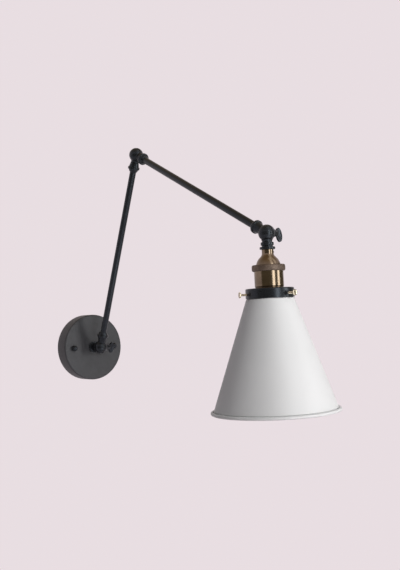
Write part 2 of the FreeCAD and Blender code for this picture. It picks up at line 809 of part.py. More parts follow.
def shade_holder():
    """Black collar that seats on the socket and takes the shade's neck and three thumb screws."""
    cup = eased_disc(holder_d, holder_top, holder_end + holder_edge_r, holder_edge_r)
    cup = cup.cut(rod(2 * holder_d, Vector(0, 0, holder_end), Vector(0, 0, 2 * holder_end)))
    inner_d = holder_d - 2 * holder_wall
    cup = cup.cut(rod(inner_d, Vector(0, 0, holder_top + holder_wall), Vector(0, 0, 2 * holder_end)))
    cup = cup.cut(rod(shell_d + 2 * turning_clearance, Vector(0, 0, 0), Vector(0, 0, 2 * holder_end)))
    cup = leaned(cup, 180, Vector(0, 0, 0))
    level = Vector(0, 0, -thumb_level)
    boss_start = shade_neck_d / 2 + shade_lip + 2 * stack_clearance
    for number in range(thumb_screw_count):
        way = thumb_way(number)
        boss = rod(thumb_boss_d, level + way * boss_start, level + way * (holder_d / 2 - holder_wall / 4))
        cup = union(cup, boss)
    for number in range(thumb_screw_count):
        hole_d = thumb_shank_d + 2 * fit_clearance
        cup = cup.cut(rod(hole_d, level, level + thumb_way(number) * holder_d))
    return cup


def holder_ring_nut():
    """Ring nut on the socket's sleeve that clamps the holder against the sleeve's bead."""
    start = holder_top + holder_wall + seat_clearance
    ring = eased_disc(holder_nut_d, start, start + holder_nut_t, holder_nut_edge_r)
    ring = ring.cut(rod(shell_d + 2 * fit_clearance, Vector(0, 0, 0), Vector(0, 0, 2 * shell_end)))
    return leaned(ring, 180, Vector(0, 0, 0))


def thumb_screw(number):
    """Thin screw with a flat round head that clamps the shade's neck."""
    way = thumb_way(number)
    level = Vector(0, 0, -thumb_level)
    tip = shade_neck_d / 2 + tip_clearance
    head_end = holder_d / 2 + thumb_stand_out
    shank = rod(thumb_shank_d, level + way * tip, level + way * (head_end - thumb_head_t / 2))
    head = aimed(eased_disc(thumb_head_d, 0, thumb_head_t, thumb_head_t / 4), way,
                 level + way * (head_end - thumb_head_t))
    return union(shank, head)


def lamp_shade():
    """Cone with a neck that enters the holder and a rolled bead round its rim."""
    neck_r = shade_neck_d / 2
    top_r = shade_top_d / 2
    rim_r = shade_rim_d / 2
    slope = math.atan2(rim_r - top_r, shade_depth)
    across = shade_wall / math.cos(slope)
    under = shade_shoulder + shade_wall
    under_r = top_r + shade_wall * math.tan(slope) - across
    cone = turned([
        (neck_r - shade_wall, shade_neck_top), (neck_r + shade_lip, shade_neck_top),
        (neck_r + shade_lip, shade_neck_top + shade_lip_t), (neck_r, shade_neck_top + shade_lip_t),
        (neck_r, shade_shoulder), (top_r, shade_shoulder),
        (rim_r, shade_end), (rim_r - across, shade_end),
        (under_r, under), (neck_r - shade_wall, under)])
    bead_r = rim_bead_d / 2
    bead = Part.makeTorus(rim_r + bead_r - shade_wall / 2, bead_r, Vector(0, 0, -shade_end))
    return union(cone, bead)


# Assembly: each piece in the frame of its body, carried to its place at rest

wall_pieces = {
    "wall_plate": wall_plate(),
    "wall_bracket": wall_bracket(),
    "canopy_screws": canopy_screws(),
    "earth_screw": earth_screw(),
    "terminal_block": terminal_block(),
    "terminal_block_screw": terminal_block_screw(),
    "terminal_screws": terminal_screws(),
    "base_nipple": base_nipple(),
    "base_nipple_washer": base_nipple_washer(),
    "base_nipple_nut": base_nipple_nut(),
    "base_wires": base_wires(),
}
base_pieces = {
    "base_knuckle": leaned(nipple_knuckle(-1, True), -90, Vector(0, 0, 0)),
    "base_wing_screw": wing_screw(base_wing_turn),
}
lower_arm_pieces = {
    "lower_arm_base_knuckle": tube_knuckle(1, False),
    "base_friction_washer": friction_washer(),
    "lower_arm_tube": arm_tube(),
    "lower_arm_wires": arm_wires(),
    "lower_arm_elbow_knuckle": far_end(tube_knuckle(-1, True)),
    "elbow_screw": far_end(elbow_screw()),
}
upper_arm_pieces = {
    "upper_arm_elbow_knuckle": tube_knuckle(1, False),
    "elbow_friction_washer": friction_washer(),
    "upper_arm_tube": arm_tube(),
    "upper_arm_wires": arm_wires(),
    "upper_arm_head_knuckle": far_end(tube_knuckle(-1, True)),
}
head_pieces = {
    "head_wing_screw": wing_screw(head_wing_turn),
    "head_knuckle": head_knuckle(),
    "head_friction_washer": friction_washer(),
    "head_lock_ring": head_lock_ring(),
    "socket_cap": socket_cap(),
    "cap_set_screw": cap_set_screw(),
    "socket_ring": socket_ring(),
    "socket_shell": socket_shell(),
    "socket_core": socket_core(),
    "socket_screw_shell": socket_screw_shell(),
    "socket_centre_contact": socket_centre_contact(),
    "socket_terminal_screws": socket_terminal_screws(),
    "socket_wires": socket_wires(),
    "shade_holder": shade_holder(),
    "holder_ring_nut": holder_ring_nut(),
    "lamp_shade": lamp_shade(),
}
for screw_number in range(thumb_screw_count):
    head_pieces["thumb_screw_" + str(screw_number + 1)] = thumb_screw(screw_number)

groups = [
    (wall_pieces, 0, Vector(0, 0, 0)),
    (base_pieces, 0, base_pivot),
    (lower_arm_pieces, lower_arm_lean, base_pivot),
    (upper_arm_pieces, upper_arm_lean, elbow_pivot),
    (head_pieces, 0, head_pivot),
]
os.makedirs("parts", exist_ok=True)
for pieces, lean, pivot in groups:
    for name, shape in pieces.items():
        placed = leaned(shape, lean, pivot)
        placed.exportStep("parts/" + name + ".step")
        print(name, len(placed.Solids), round(placed.Volume, 1), placed.isValid())
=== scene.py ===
import bmesh
import bpy
import json
import math
from bpy.props import FloatProperty, FloatVectorProperty, IntProperty, PointerProperty
from mathutils import Matrix, Vector


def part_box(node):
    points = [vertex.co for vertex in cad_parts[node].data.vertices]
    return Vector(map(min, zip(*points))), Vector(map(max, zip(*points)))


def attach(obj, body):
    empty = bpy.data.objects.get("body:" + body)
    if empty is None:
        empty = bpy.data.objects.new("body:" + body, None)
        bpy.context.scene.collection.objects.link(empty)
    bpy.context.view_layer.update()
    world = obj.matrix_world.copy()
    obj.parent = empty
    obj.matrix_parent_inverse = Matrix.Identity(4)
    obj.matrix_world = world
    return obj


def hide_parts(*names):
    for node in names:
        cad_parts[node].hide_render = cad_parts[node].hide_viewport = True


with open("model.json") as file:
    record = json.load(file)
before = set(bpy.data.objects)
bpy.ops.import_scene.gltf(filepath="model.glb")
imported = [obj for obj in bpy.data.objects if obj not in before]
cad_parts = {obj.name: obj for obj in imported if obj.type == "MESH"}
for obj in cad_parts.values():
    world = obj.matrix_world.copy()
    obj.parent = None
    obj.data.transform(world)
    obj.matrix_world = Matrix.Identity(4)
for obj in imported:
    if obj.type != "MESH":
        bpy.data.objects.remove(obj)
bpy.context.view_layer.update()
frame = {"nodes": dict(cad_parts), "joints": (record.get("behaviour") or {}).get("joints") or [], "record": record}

bl_info = {
    "name": "Articulated wall lamp",
    "version": (1, 0, 0),
    "blender": (4, 5, 0),
    "location": "3D View > Sidebar > Wall lamp",
    "description": "Dresses a jointed wall lamp with a brass socket and a white cone shade",
    "category": "Object",
}

# Measures, in metres

MM = 0.001
tiny = 0.001 * MM
close_fit = 0.05 * MM
knuckle_sides = 72
screw_sides = 64
socket_sides = 128

# Places from the frame: +Z up, the wall at Y = 0, the lamp out along -Y

joint_places = {joint["name"]: Vector(joint["pos_m"]) for joint in frame["joints"]}
joint_axes = {joint["name"]: Vector(joint["axis"]) for joint in frame["joints"]}
base_pivot = joint_places["base_tilt"]
elbow_pivot = joint_places["elbow_fold"]
head_pivot = joint_places["head_tilt"]


def lean_between(start, end):
    """Angle of a line from straight up towards the room."""
    way = end - start
    return math.atan2(-way.y, way.z)


lower_lean = lean_between(base_pivot, elbow_pivot)
upper_lean = lean_between(elbow_pivot, head_pivot)
arm_length = (elbow_pivot - base_pivot).length
ball_radius = -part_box("lower_arm_elbow_knuckle")[0][0]
thumb_numbers = (1, 2, 3)


def leaned(pivot, lean):
    """Place of a piece made along +Z from its pivot."""
    return Matrix.Translation(pivot) @ Matrix.Rotation(lean, 4, "X")


def outward(way):
    """Turn of a piece made along +Z into a direction."""
    return Vector((0, 0, 1)).rotation_difference(Vector(way)).to_matrix().to_4x4()


along_x = Matrix.Rotation(math.pi / 2, 4, "Y")
out_of_wall = Matrix.Rotation(math.pi / 2, 4, "X")
upside_down = Matrix.Rotation(math.pi, 4, "X")
lower_arm = leaned(base_pivot, lower_lean)
upper_arm = leaned(elbow_pivot, upper_lean)
far_end = Matrix.Translation((0, 0, arm_length)) @ upside_down
head_place = Matrix.Translation(head_pivot)


def box_radius(node):
    """Half the width of a round node."""
    low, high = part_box(node)
    return (high[0] - low[0]) / 2


def head_span(node):
    """Upper and lower end of a node of the head, from the head's pivot."""
    low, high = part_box(node)
    return high[2] - head_pivot.z, low[2] - head_pivot.z


# Sizes and colours that a user would change


def length(name, description, millimetres):
    """Length property with its default in millimetres."""
    return FloatProperty(name=name, description=description, default=millimetres * MM, min=0.0,
                         precision=5, subtype="DISTANCE", unit="LENGTH")


def angle(name, description, degrees):
    """Angle property with its default in degrees."""
    return FloatProperty(name=name, description=description, default=math.radians(degrees), subtype="ANGLE",
                         unit="ROTATION")


def brightness(name, description, value):
    """Radiance property of a soft light."""
    return FloatProperty(name=name, description=description, default=value, min=0.0)


def colour(name, description, value):
    """Linear colour property."""
    return FloatVectorProperty(name=name, description=description, default=value, size=3,
                               min=0.0, max=1.0, subtype="COLOR")


class LampPlateSizes(bpy.types.PropertyGroup):
    """Wall plate and its screws."""

    wall: length("Wall", "Thickness of the dished plate", 1.2)
    edge: length("Front edge", "Rounding of the plate's front edge", 2.6)
    nipple_hole: length("Nipple hole", "Radius of the hole in the middle", 5.08)
    screw_hole: length("Screw hole", "Radius of each screw hole", 2.2)
    screw_offset: length("Screw offset", "Distance of each screw from the middle", 38.7)
    knob: length("Knob", "Radius of a screw's round knob at its foot", 3.4)
    knob_rise: length("Knob rise", "Height of a screw's round knob", 8.4)
    screw_shank: length("Screw shank", "Radius of a screw's shank", 2.0)
    slot_width: length("Slot width", "Width of a screwdriver slot", 1.1)
    slot_depth: length("Slot depth", "Depth of a screwdriver slot", 1.2)


class LampJointSizes(bpy.types.PropertyGroup):
    """Arms, knuckles and pivot screws."""

    tube_wall: length("Tube wall", "Wall of an arm tube", 1.0)
    reach: length("Knuckle reach", "Distance from a pivot to the end of its flange", 23.0)
    neck: length("Neck", "Radius of a knuckle's neck at the ball", 6.0)
    flare: length("Neck flare", "How much wider the neck is at the flange", 2.0)
    flange: length("Flange", "Radius of a knuckle's flange", 9.2)
    flange_depth: length("Flange depth", "Thickness of a knuckle's flange", 3.6)
    ferrule: length("Ferrule", "Radius of the tapered ferrule at the flange", 7.6)
    ferrule_end: length("Ferrule end", "Radius of the tapered ferrule at the tube", 5.4)
    ferrule_length: length("Ferrule length", "Length of the tapered ferrule", 4.6)
    face_gap: length("Face gap", "Gap between the halves of a knuckle", 1.0)
    ball_room: length("Ball room", "Clearance round the other half of a knuckle", 0.5)
    soft_edge: length("Soft edge", "Rounding of a half ball's rim", 0.6)
    pivot_hole: length("Pivot hole", "Radius of the hole for the pivot screw", 2.58)
    pivot_depth: length("Pivot depth", "How far the blind pivot hole goes from the middle", 8.2)
    pivot_screw: length("Pivot screw", "Radius of a pivot screw", 2.5)
    seat: length("Seat", "Distance of a pivot screw's seat from the middle", 9.0)
    collar: length("Wing collar", "Radius of a wing's stem at its seat", 6.2)
    stem: length("Wing stem", "Radius of a wing's stem at the oval", 4.1)
    stem_length: length("Stem length", "Length of a wing's stem", 7.2)
    wing_drop: length("Wing drop", "How far the oval's middle lies beside the screw's axis", 2.2)
    wing_width: length("Wing width", "Width of the oval wing", 9.6)
    wing_length: length("Wing length", "Length of the oval wing", 19.0)
    wing_rim: length("Wing rim", "Thickness of the oval wing at its rim", 3.2)
    wing_web: length("Wing web", "Thickness of the oval wing in its dished middle", 2.3)
    base_wing_turn: angle("Base wing turn", "Turn of the base's wing from upright", 22.0)
    head_wing_turn: angle("Head wing turn", "Turn of the head's wing from upright", -8.0)
    elbow_head: length("Elbow screw head", "Radius of the elbow screw's dome", 4.8)
    elbow_rise: length("Elbow screw rise", "Height of the elbow screw's dome", 2.4)


class LampHeadSizes(bpy.types.PropertyGroup):
    """Neck, socket, holder and shade, measured from the head's pivot where they are depths."""

    neck: length("Head neck", "Radius of the neck above the bead", 6.6)
    bead: length("Neck bead", "Radius of the bead on the neck", 8.5)
    bead_top: length("Bead top", "Depth of the bead's upper edge", 12.0)
    bead_depth: length("Bead depth", "Thickness of the bead", 4.2)
    throat: length("Throat", "Radius of the neck below the bead", 7.2)
    nipple: length("Nipple", "Radius of the threaded tail", 5.05)
    cap_neck: length("Cap neck", "Radius of the brass cap's neck", 7.6)
    cap_neck_length: length("Cap neck length", "Length of the brass cap's neck", 7.0)
    cap_dome: length("Cap dome", "Radius of the brass cap's dome", 16.2)
    cap_dome_height: length("Dome height", "Height of the brass cap's dome", 14.0)
    cap_bulge: length("Dome bulge", "How far the dome swells past a plain cone", 1.55)
    sheet: length("Brass sheet", "Thickness of the brass", 0.9)
    set_screw: length("Set screw", "Radius of the cap's set screw", 1.6)
    set_screw_proud: length("Set screw proud", "How far the cap's set screw stands out", 0.8)
    set_screw_way: angle("Set screw way", "Direction of the cap's set screw, from +X", -30.0)
    holder_wall: length("Holder wall", "Thickness of the black holder", 1.2)
    thumb_hole: length("Thumb hole", "Radius of a thumb screw's hole", 1.55)
    thumb_boss: length("Thumb boss", "Radius of a thumb screw's boss inside the holder", 3.0)
    thumb_shank: length("Thumb shank", "Radius of a thumb screw", 1.5)
    thumb_head: length("Thumb head", "Radius of a thumb screw's head", 3.82)
    thumb_head_depth: length("Thumb head depth", "Thickness of a thumb screw's head", 1.7)
    thumb_reach: length("Thumb reach", "How far a thumb screw stands out of the holder", 10.2)
    thumb_pitch: length("Thumb pitch", "Pitch of a thumb screw's thread", 0.6)
    thumb_ribs: IntProperty(name="Thumb ribs", description="Ribs round a thumb screw's head",
                            default=26, min=6)
    shade_wall: length("Shade wall", "Thickness of the shade", 0.9)
    shade_neck: length("Shade neck", "Radius of the shade's neck", 27.8)
    shade_top: length("Shade top", "Radius of the shade's shoulder", 30.8)
    shade_neck_rise: length("Shade neck rise", "Height of the shade's neck above its shoulder", 10.5)
    rim_bead: length("Rim bead", "Radius of the rolled rim", 2.1)
    rim_groove: length("Rim crease", "Width of the pressed crease above the rolled rim", 2.6)
    rim_groove_depth: length("Rim crease depth", "Depth of the pressed crease above the rolled rim", 1.5)
    bulb_thread: length("Bulb thread", "Mean radius of the bulb's thread", 13.7)
    bulb_thread_depth: length("Thread depth", "Height of the bulb's thread either way", 0.5)
    bulb_pitch: length("Bulb pitch", "Pitch of the bulb's thread", 3.6)


class LampColours(bpy.types.PropertyGroup):
    """Colours of the finishes."""

    black: colour("Black paint", "Satin paint of the arms, knuckles and holder", (0.0132, 0.0145, 0.0168))
    dull_black: colour("Dull black paint", "Paint of the wall plate", (0.0460, 0.0475, 0.0530))
    white: colour("White enamel", "Enamel of the shade", (0.79, 0.793, 0.79))
    brass: colour("Aged brass", "Polished brass with a brown tarnish", (0.195, 0.152, 0.107))
    bronze: colour("Bronze", "Brown bronze of the socket ring", (0.15, 0.117, 0.095))
    bright: colour("Bright brass", "Brass of screws and contacts", (0.50, 0.45, 0.35))
    zinc: colour("Zinc plate", "Plated steel behind the wall plate", (0.55, 0.55, 0.53))
    green: colour("Green zinc", "Dyed steel of the earth screw", (0.05, 0.20, 0.07))
    ceramic: colour("Ceramic", "Unglazed ceramic of the socket", (0.76, 0.73, 0.67))
    fibre: colour("Fibre", "Friction washers", (0.035, 0.03, 0.026))
    plastic: colour("Block plastic", "Terminal block", (0.70, 0.68, 0.60))
    wire_left: colour("Left wire", "Insulation of the left wire", (0.11, 0.045, 0.02))
    wire_right: colour("Right wire", "Insulation of the right wire", (0.03, 0.09, 0.32))


class LampStageSettings(bpy.types.PropertyGroup):
    """Floor, background and lights."""

    floor_drop: length("Floor drop", "How far the floor lies below the wall plate's middle", 900.0)
    backdrop: colour("Backdrop", "Pale colour behind the lamp", (0.81, 0.73, 0.76))
    ambient: colour("Ambient", "Soft light from all round", (0.168, 0.168, 0.173))
    dark_side: colour("Dark side", "What metal reflects of the room's dark side", (0.19, 0.165, 0.12))
    ceiling: colour("Ceiling", "What metal reflects from above", (0.46, 0.34, 0.21))
    panel_start: angle("Panel start", "Left end of the dark side, from straight out of the wall", -103.0)
    panel_sweep: angle("Panel sweep", "Turn from the dark side's left end to its right end", 202.0)
    panel_distance: length("Panel distance", "Distance of the dark side from the lamp's head", 2400.0)
    panel_half: length("Panel half height", "Reach of the dark side above and below level", 950.0)
    window_light: brightness("Window light", "Radiance of the two tall soft lights", 5.0)
    upper_light: brightness("Upper light", "Radiance of the dim light above each soft light", 0.9)
    upper_height: length("Upper height", "Height of the dim light above each soft light", 1500.0)
    upper_rise: angle("Upper rise", "Angle of the dim lights above the level of the lamp's head", 52.0)
    window_distance: length("Window distance", "Distance of each soft light from the lamp's head", 1600.0)
    near_way: angle("Near way", "Direction of the nearer light, from straight out of the wall", -4.8)
    near_width: length("Near width", "Width of the nearer light", 520.0)
    near_height: length("Near height", "Height of the nearer light", 1900.0)
    side_way: angle("Side way", "Direction of the light further round, from straight out of the wall", 38.4)
    side_width: length("Side width", "Width of the light further round", 520.0)
    side_height: length("Side height", "Height of the light further round", 1120.0)
    lower_light: brightness("Lower light", "Radiance of a bright patch below that gloss reflects", 1.8)
    lower_way: angle("Lower way", "Direction of the bright patch, from straight out of the wall", 4.0)
    lower_drop: angle("Lower drop", "Angle of the bright patch below the level of the lamp's head", 51.0)
    lower_distance: length("Lower distance", "Distance of the bright patch from the lamp's head", 1100.0)
    lower_width: length("Lower width", "Width of the bright patch", 780.0)
    lower_height: length("Lower height", "Height of the bright patch", 500.0)
    camera_turn: angle("Camera turn", "Turn of the view away from the wall's normal", 37.90)
    camera_tilt: angle("Camera tilt", "Upward tilt of the view", 2.09)
    camera_roll: angle("Camera roll", "Roll of the view", -2.88)
    camera_focus: FloatProperty(name="Camera focus", description="Focal length over the picture's height",
                                default=1.459, min=0.1)
    camera_place: FloatVectorProperty(name="Camera place", description="Where the camera stands", size=3,
                                      default=(-0.7268, -1.2627, 0.0448), subtype="TRANSLATION")


def settings(group):
    """Property group on the scene."""
    return getattr(bpy.context.scene, group)


# Outlines and meshes


def eased(corners, closed):
    """Outline of radius and height from corners (radius, height, ease), each rounded by its ease."""
    step = math.radians(10)
    most_of_side = 0.49
    points = []
    last = len(corners) - 1
    for place, (radius, height, ease) in enumerate(corners):
        corner = Vector((radius, height))
        if ease == 0 or (not closed and place in (0, last)):
            points.append(corner)
            continue
        back = Vector(corners[place - 1][:2]) - corner
        ahead = Vector(corners[(place + 1) % len(corners)][:2]) - corner
        half = back.angle(ahead) / 2
        run = min(ease / math.tan(half), most_of_side * min(back.length, ahead.length))
        arc_r = run * math.tan(half)
        middle = corner + (back.normalized() + ahead.normalized()).normalized() * (arc_r / math.sin(half))
        start = corner + back.normalized() * run - middle
        end = corner + ahead.normalized() * run - middle
        sweep = math.atan2(start.x * end.y - start.y * end.x, start.dot(end))
        count = max(2, math.ceil(abs(sweep) / step))
        for stop in range(count + 1):
            points.append(middle + Matrix.Rotation(sweep * stop / count, 2) @ start)
    return points


def arc(middle, radius, first, last, step=math.radians(5)):
    """Points of an arc in the outline's plane, between two angles from the radius axis."""
    count = max(2, math.ceil(abs(last - first) / step))
    angles = [first + (last - first) * stop / count for stop in range(count + 1)]
    return [Vector((middle[0] + radius * math.cos(a), middle[1] + radius * math.sin(a))) for a in angles]


def plain(points):
    """Corners without ease."""
    return [(point[0], point[1], 0) for point in points]


def turned(outline, sides=96, closed=False):
    """Solid turned about Z from points of radius and height."""
    solid = bmesh.new()
    rings = []
    for radius, height in outline:
        spokes = sides if radius > tiny else 1
        turns = [2 * math.pi * side / sides for side in range(spokes)]
        rings.append([solid.verts.new((radius * math.cos(a), radius * math.sin(a), height)) for a in turns])
    pairs = list(zip(rings, rings[1:]))
    if closed:
        pairs.append((rings[-1], rings[0]))
    for lower, upper in pairs:
        for side in range(sides):
            after = (side + 1) % sides
            corners = [lower[side % len(lower)], lower[after % len(lower)],
                       upper[after % len(upper)], upper[side % len(upper)]]
            corners = list(dict.fromkeys(corners))
            if len(corners) > 2:
                solid.faces.new(corners)
    bmesh.ops.recalc_face_normals(solid, faces=solid.faces)
    return as_mesh(solid)


def as_mesh(solid):
    """Plain mesh from an edit mesh."""
    mesh = bpy.data.meshes.new("shape")
    solid.to_mesh(mesh)
    solid.free()
    return mesh


def moved(mesh, matrix):
    """Mesh carried to a new place."""
    mesh.transform(matrix)
    return mesh


def joined(*meshes):
    """One mesh from several, each with its own shell."""
    whole = bmesh.new()
    for mesh in meshes:
        whole.from_mesh(mesh)
    return as_mesh(whole)


def set_down(name, data):
    """New object in the scene."""
    thing = bpy.data.objects.new(name, data)
    bpy.context.scene.collection.objects.link(thing)
    return thing


def evaluated(thing):
    """Plain mesh of an object with its modifiers, after which the object is gone."""
    graph = bpy.context.evaluated_depsgraph_get()
    mesh = bpy.data.meshes.new_from_object(thing.evaluated_get(graph), depsgraph=graph)
    thing.modifiers.clear()
    bpy.data.objects.remove(thing)
    return mesh


def combined(body, tool, operation):
    """Union or difference of two closed meshes."""
    first = set_down("body", body)
    second = set_down("tool", tool)
    boolean = first.modifiers.new("combine", "BOOLEAN")
    boolean.operation = operation
    boolean.solver = "EXACT"
    boolean.object = second
    mesh = evaluated(first)
    bpy.data.objects.remove(second)
    if not mesh.polygons:
        raise RuntimeError("a boolean left nothing")
    return mesh


def rod(radius, start, end, sides=32):
    """Plain round bar along Z, used to cut and to join."""
    return turned([(0, start), (radius, start), (radius, end), (0, end)], sides)


def round_screw(head_r, rise, shank_r, shank_length):
    """Round-headed screw: head up along +Z, shank below."""
    tip_ease = 0.3 * MM
    dome_r = (head_r ** 2 + rise ** 2) / (2 * rise)
    middle = rise - dome_r
    dome = arc((0, middle), dome_r, math.atan2(-middle, head_r), math.pi / 2)
    corners = [(0, -shank_length, 0), (shank_r, -shank_length, tip_ease), (shank_r, 0, 0)]
    return turned(eased(corners + plain(dome), closed=False), screw_sides)


def slotted_screw(head_r, rise, shank_r, shank_length):
    """Round-headed screw with a driver slot."""
    sizes = settings("lamp_plate")
    screw = round_screw(head_r, rise, shank_r, shank_length)
    cutter = bmesh.new()
    bmesh.ops.create_cube(cutter, size=1.0)
    most_of_rise = 0.6 * rise
    past_head = 3 * head_r
    floor = rise - min(sizes.slot_depth, most_of_rise)
    bmesh.ops.scale(cutter, vec=(past_head, sizes.slot_width, 2 * rise), verts=cutter.verts)
    bmesh.ops.translate(cutter, vec=(0, 0, floor + rise), verts=cutter.verts)
    return combined(screw, as_mesh(cutter), "DIFFERENCE")


def sheet(line, wall):
    """Closed outline of a wall that follows a centre line."""
    left = []
    right = []
    for place, point in enumerate(line):
        before = line[max(place - 1, 0)]
        after = line[min(place + 1, len(line) - 1)]
        way = (after - before).normalized()
        side = Vector((-way.y, way.x)) * wall / 2
        left.append(point + side)
        right.append(point - side)
    return left + right[::-1]


# Geometry node trees for what repeats and for threads


def link(tree, *links):
    """Link nodes of a tree, each link a node and its output, then the next node and its input."""
    for source, output, target, entry in links:
        tree.links.new(source.outputs[output], target.inputs[entry])


def new_tree(name, inputs):
    """Geometry tree with a geometry socket, named inputs and a finish."""
    tree = bpy.data.node_groups.new(name, "GeometryNodeTree")
    tree.interface.new_socket("Geometry", in_out="INPUT", socket_type="NodeSocketGeometry")
    for label, kind in inputs + [("Finish", "Material")]:
        tree.interface.new_socket(label, in_out="INPUT", socket_type="NodeSocket" + kind)
    tree.interface.new_socket("Geometry", in_out="OUTPUT", socket_type="NodeSocketGeometry")
    return tree, tree.nodes.new("NodeGroupInput")


def close_tree(tree, start, geometry):
    """Realize what was made and give it its finish."""
    realize = tree.nodes.new("GeometryNodeRealizeInstances")
    dress = tree.nodes.new("GeometryNodeSetMaterial")
    end = tree.nodes.new("NodeGroupOutput")
    tree.links.new(geometry, realize.inputs["Geometry"])
    link(tree, (realize, "Geometry", dress, "Geometry"), (start, "Finish", dress, "Material"),
         (dress, "Geometry", end, "Geometry"))
    return tree


def row_tree():
    """Copies of a shape in a straight row."""
    tree, start = new_tree("lamp_row", [("Count", "Int"), ("First", "Vector"), ("Step", "Vector")])
    line = tree.nodes.new("GeometryNodeMeshLine")
    copies = tree.nodes.new("GeometryNodeInstanceOnPoints")
    link(tree, (start, "Count", line, "Count"), (start, "First", line, "Start Location"),
         (start, "Step", line, "Offset"), (line, "Mesh", copies, "Points"),
         (start, "Geometry", copies, "Instance"))
    return close_tree(tree, start, copies.outputs["Instances"])


def ring_tree():
    """Copies of a shape round a circle, each turned to face outwards."""
    tree, start = new_tree("lamp_ring", [("Count", "Int"), ("Radius", "Float")])
    circle = tree.nodes.new("GeometryNodeMeshCircle")
    copies = tree.nodes.new("GeometryNodeInstanceOnPoints")
    outwards = tree.nodes.new("FunctionNodeAlignRotationToVector")
    place = tree.nodes.new("GeometryNodeInputPosition")
    outwards.axis = "X"
    link(tree, (start, "Count", circle, "Vertices"), (start, "Radius", circle, "Radius"),
         (place, "Position", outwards, "Vector"), (circle, "Mesh", copies, "Points"),
         (start, "Geometry", copies, "Instance"), (outwards, "Rotation", copies, "Rotation"))
    return close_tree(tree, start, copies.outputs["Instances"])


def sums(tree, operation, first, second=None):
    """Math node of a tree on sockets or numbers."""
    node = tree.nodes.new("ShaderNodeMath")
    node.operation = operation
    for socket, value in zip(node.inputs, (first, second)):
        if isinstance(value, bpy.types.NodeSocket):
            tree.links.new(value, socket)
        elif value is not None:
            socket.default_value = value
    return node.outputs["Value"]


def thread_tree():
    """Round wall with a helical thread along Z, drawn in to the axis at its ends over Close."""
    sizes = [(label, "Float") for label in ("Radius", "Depth", "Pitch", "Length", "Close")]
    counts = [(label, "Int") for label in ("Sides", "Rows")]
    tree, start = new_tree("lamp_thread", sizes + counts)
    grid = tree.nodes.new("GeometryNodeMeshGrid")
    place = tree.nodes.new("GeometryNodeInputPosition")
    split = tree.nodes.new("ShaderNodeSeparateXYZ")
    gather = tree.nodes.new("ShaderNodeCombineXYZ")
    shape = tree.nodes.new("GeometryNodeSetPosition")
    weld = tree.nodes.new("GeometryNodeMergeByDistance")
    grid_side = 1.0
    half_side = grid_side / 2
    whole_turn = 2 * math.pi
    for socket in ("Size X", "Size Y"):
        grid.inputs[socket].default_value = grid_side
    link(tree, (start, "Sides", grid, "Vertices X"), (start, "Rows", grid, "Vertices Y"),
         (place, "Position", split, "Vector"))
    turn = sums(tree, "MULTIPLY", sums(tree, "ADD", split.outputs["X"], half_side), whole_turn)
    height = sums(tree, "MULTIPLY", sums(tree, "ADD", split.outputs["Y"], half_side), start.outputs["Length"])
    rise = sums(tree, "MULTIPLY", sums(tree, "DIVIDE", height, start.outputs["Pitch"]), whole_turn)
    crest = sums(tree, "COSINE", sums(tree, "SUBTRACT", rise, turn))
    radius = sums(tree, "ADD", start.outputs["Radius"], sums(tree, "MULTIPLY", crest, start.outputs["Depth"]))
    left = sums(tree, "SUBTRACT", start.outputs["Length"], height)
    nearest = sums(tree, "ADD", sums(tree, "MINIMUM", height, left), tiny)
    draw = sums(tree, "DIVIDE", nearest, sums(tree, "ADD", start.outputs["Close"], tiny))
    radius = sums(tree, "MULTIPLY", radius, sums(tree, "MINIMUM", draw, 1.0))
    tree.links.new(sums(tree, "MULTIPLY", radius, sums(tree, "COSINE", turn)), gather.inputs["X"])
    tree.links.new(sums(tree, "MULTIPLY", radius, sums(tree, "SINE", turn)), gather.inputs["Y"])
    tree.links.new(height, gather.inputs["Z"])
    link(tree, (grid, "Mesh", shape, "Geometry"), (gather, "Vector", shape, "Position"),
         (shape, "Geometry", weld, "Geometry"))
    weld.inputs["Distance"].default_value = 5 * tiny
    return close_tree(tree, start, weld.outputs["Geometry"])


def grown(tree, mesh, values, wall=0.0):
    """Plain mesh that a geometry tree makes, with a wall where one is asked for."""
    thing = set_down("grown", mesh)
    nodes = thing.modifiers.new("grow", "NODES")
    nodes.node_group = tree
    for item in tree.interface.items_tree:
        if item.in_out == "INPUT" and item.name in values:
            nodes[item.identifier] = values[item.name]
    if wall:
        thicken = thing.modifiers.new("wall", "SOLIDIFY")
        thicken.thickness = wall
        thicken.offset = 0.0
    return evaluated(thing)


def threaded(slot, radius, depth, pitch, length, close=0.0, wall=0.0, sides=48):
    """Threaded rod, or a threaded sleeve where it has a wall."""
    rows_per_turn = 10
    rows = math.ceil(length / pitch * rows_per_turn)
    values = {"Radius": radius, "Depth": depth, "Pitch": pitch, "Length": length, "Close": close,
              "Sides": sides + 1, "Rows": rows, "Finish": finish(slot)}
    mesh = grown(thread_tree(), bpy.data.meshes.new("empty"), values, wall)
    facing = bmesh.new()
    facing.from_mesh(mesh)
    bmesh.ops.recalc_face_normals(facing, faces=facing.faces)
    return as_mesh(facing)


# Finishes, one function each, all on Object coordinates. A noise lies mostly between low and high.

noise_low, noise_middle, noise_high = 0.3, 0.5, 0.7


def shader_tree(name):
    """New node material: the material, its tree, its shader and its Object coordinates."""
    material = bpy.data.materials.new(name)
    material.use_nodes = True
    tree = material.node_tree
    place = tree.nodes.new("ShaderNodeTexCoord").outputs["Object"]
    return material, tree, tree.nodes["Principled BSDF"], place


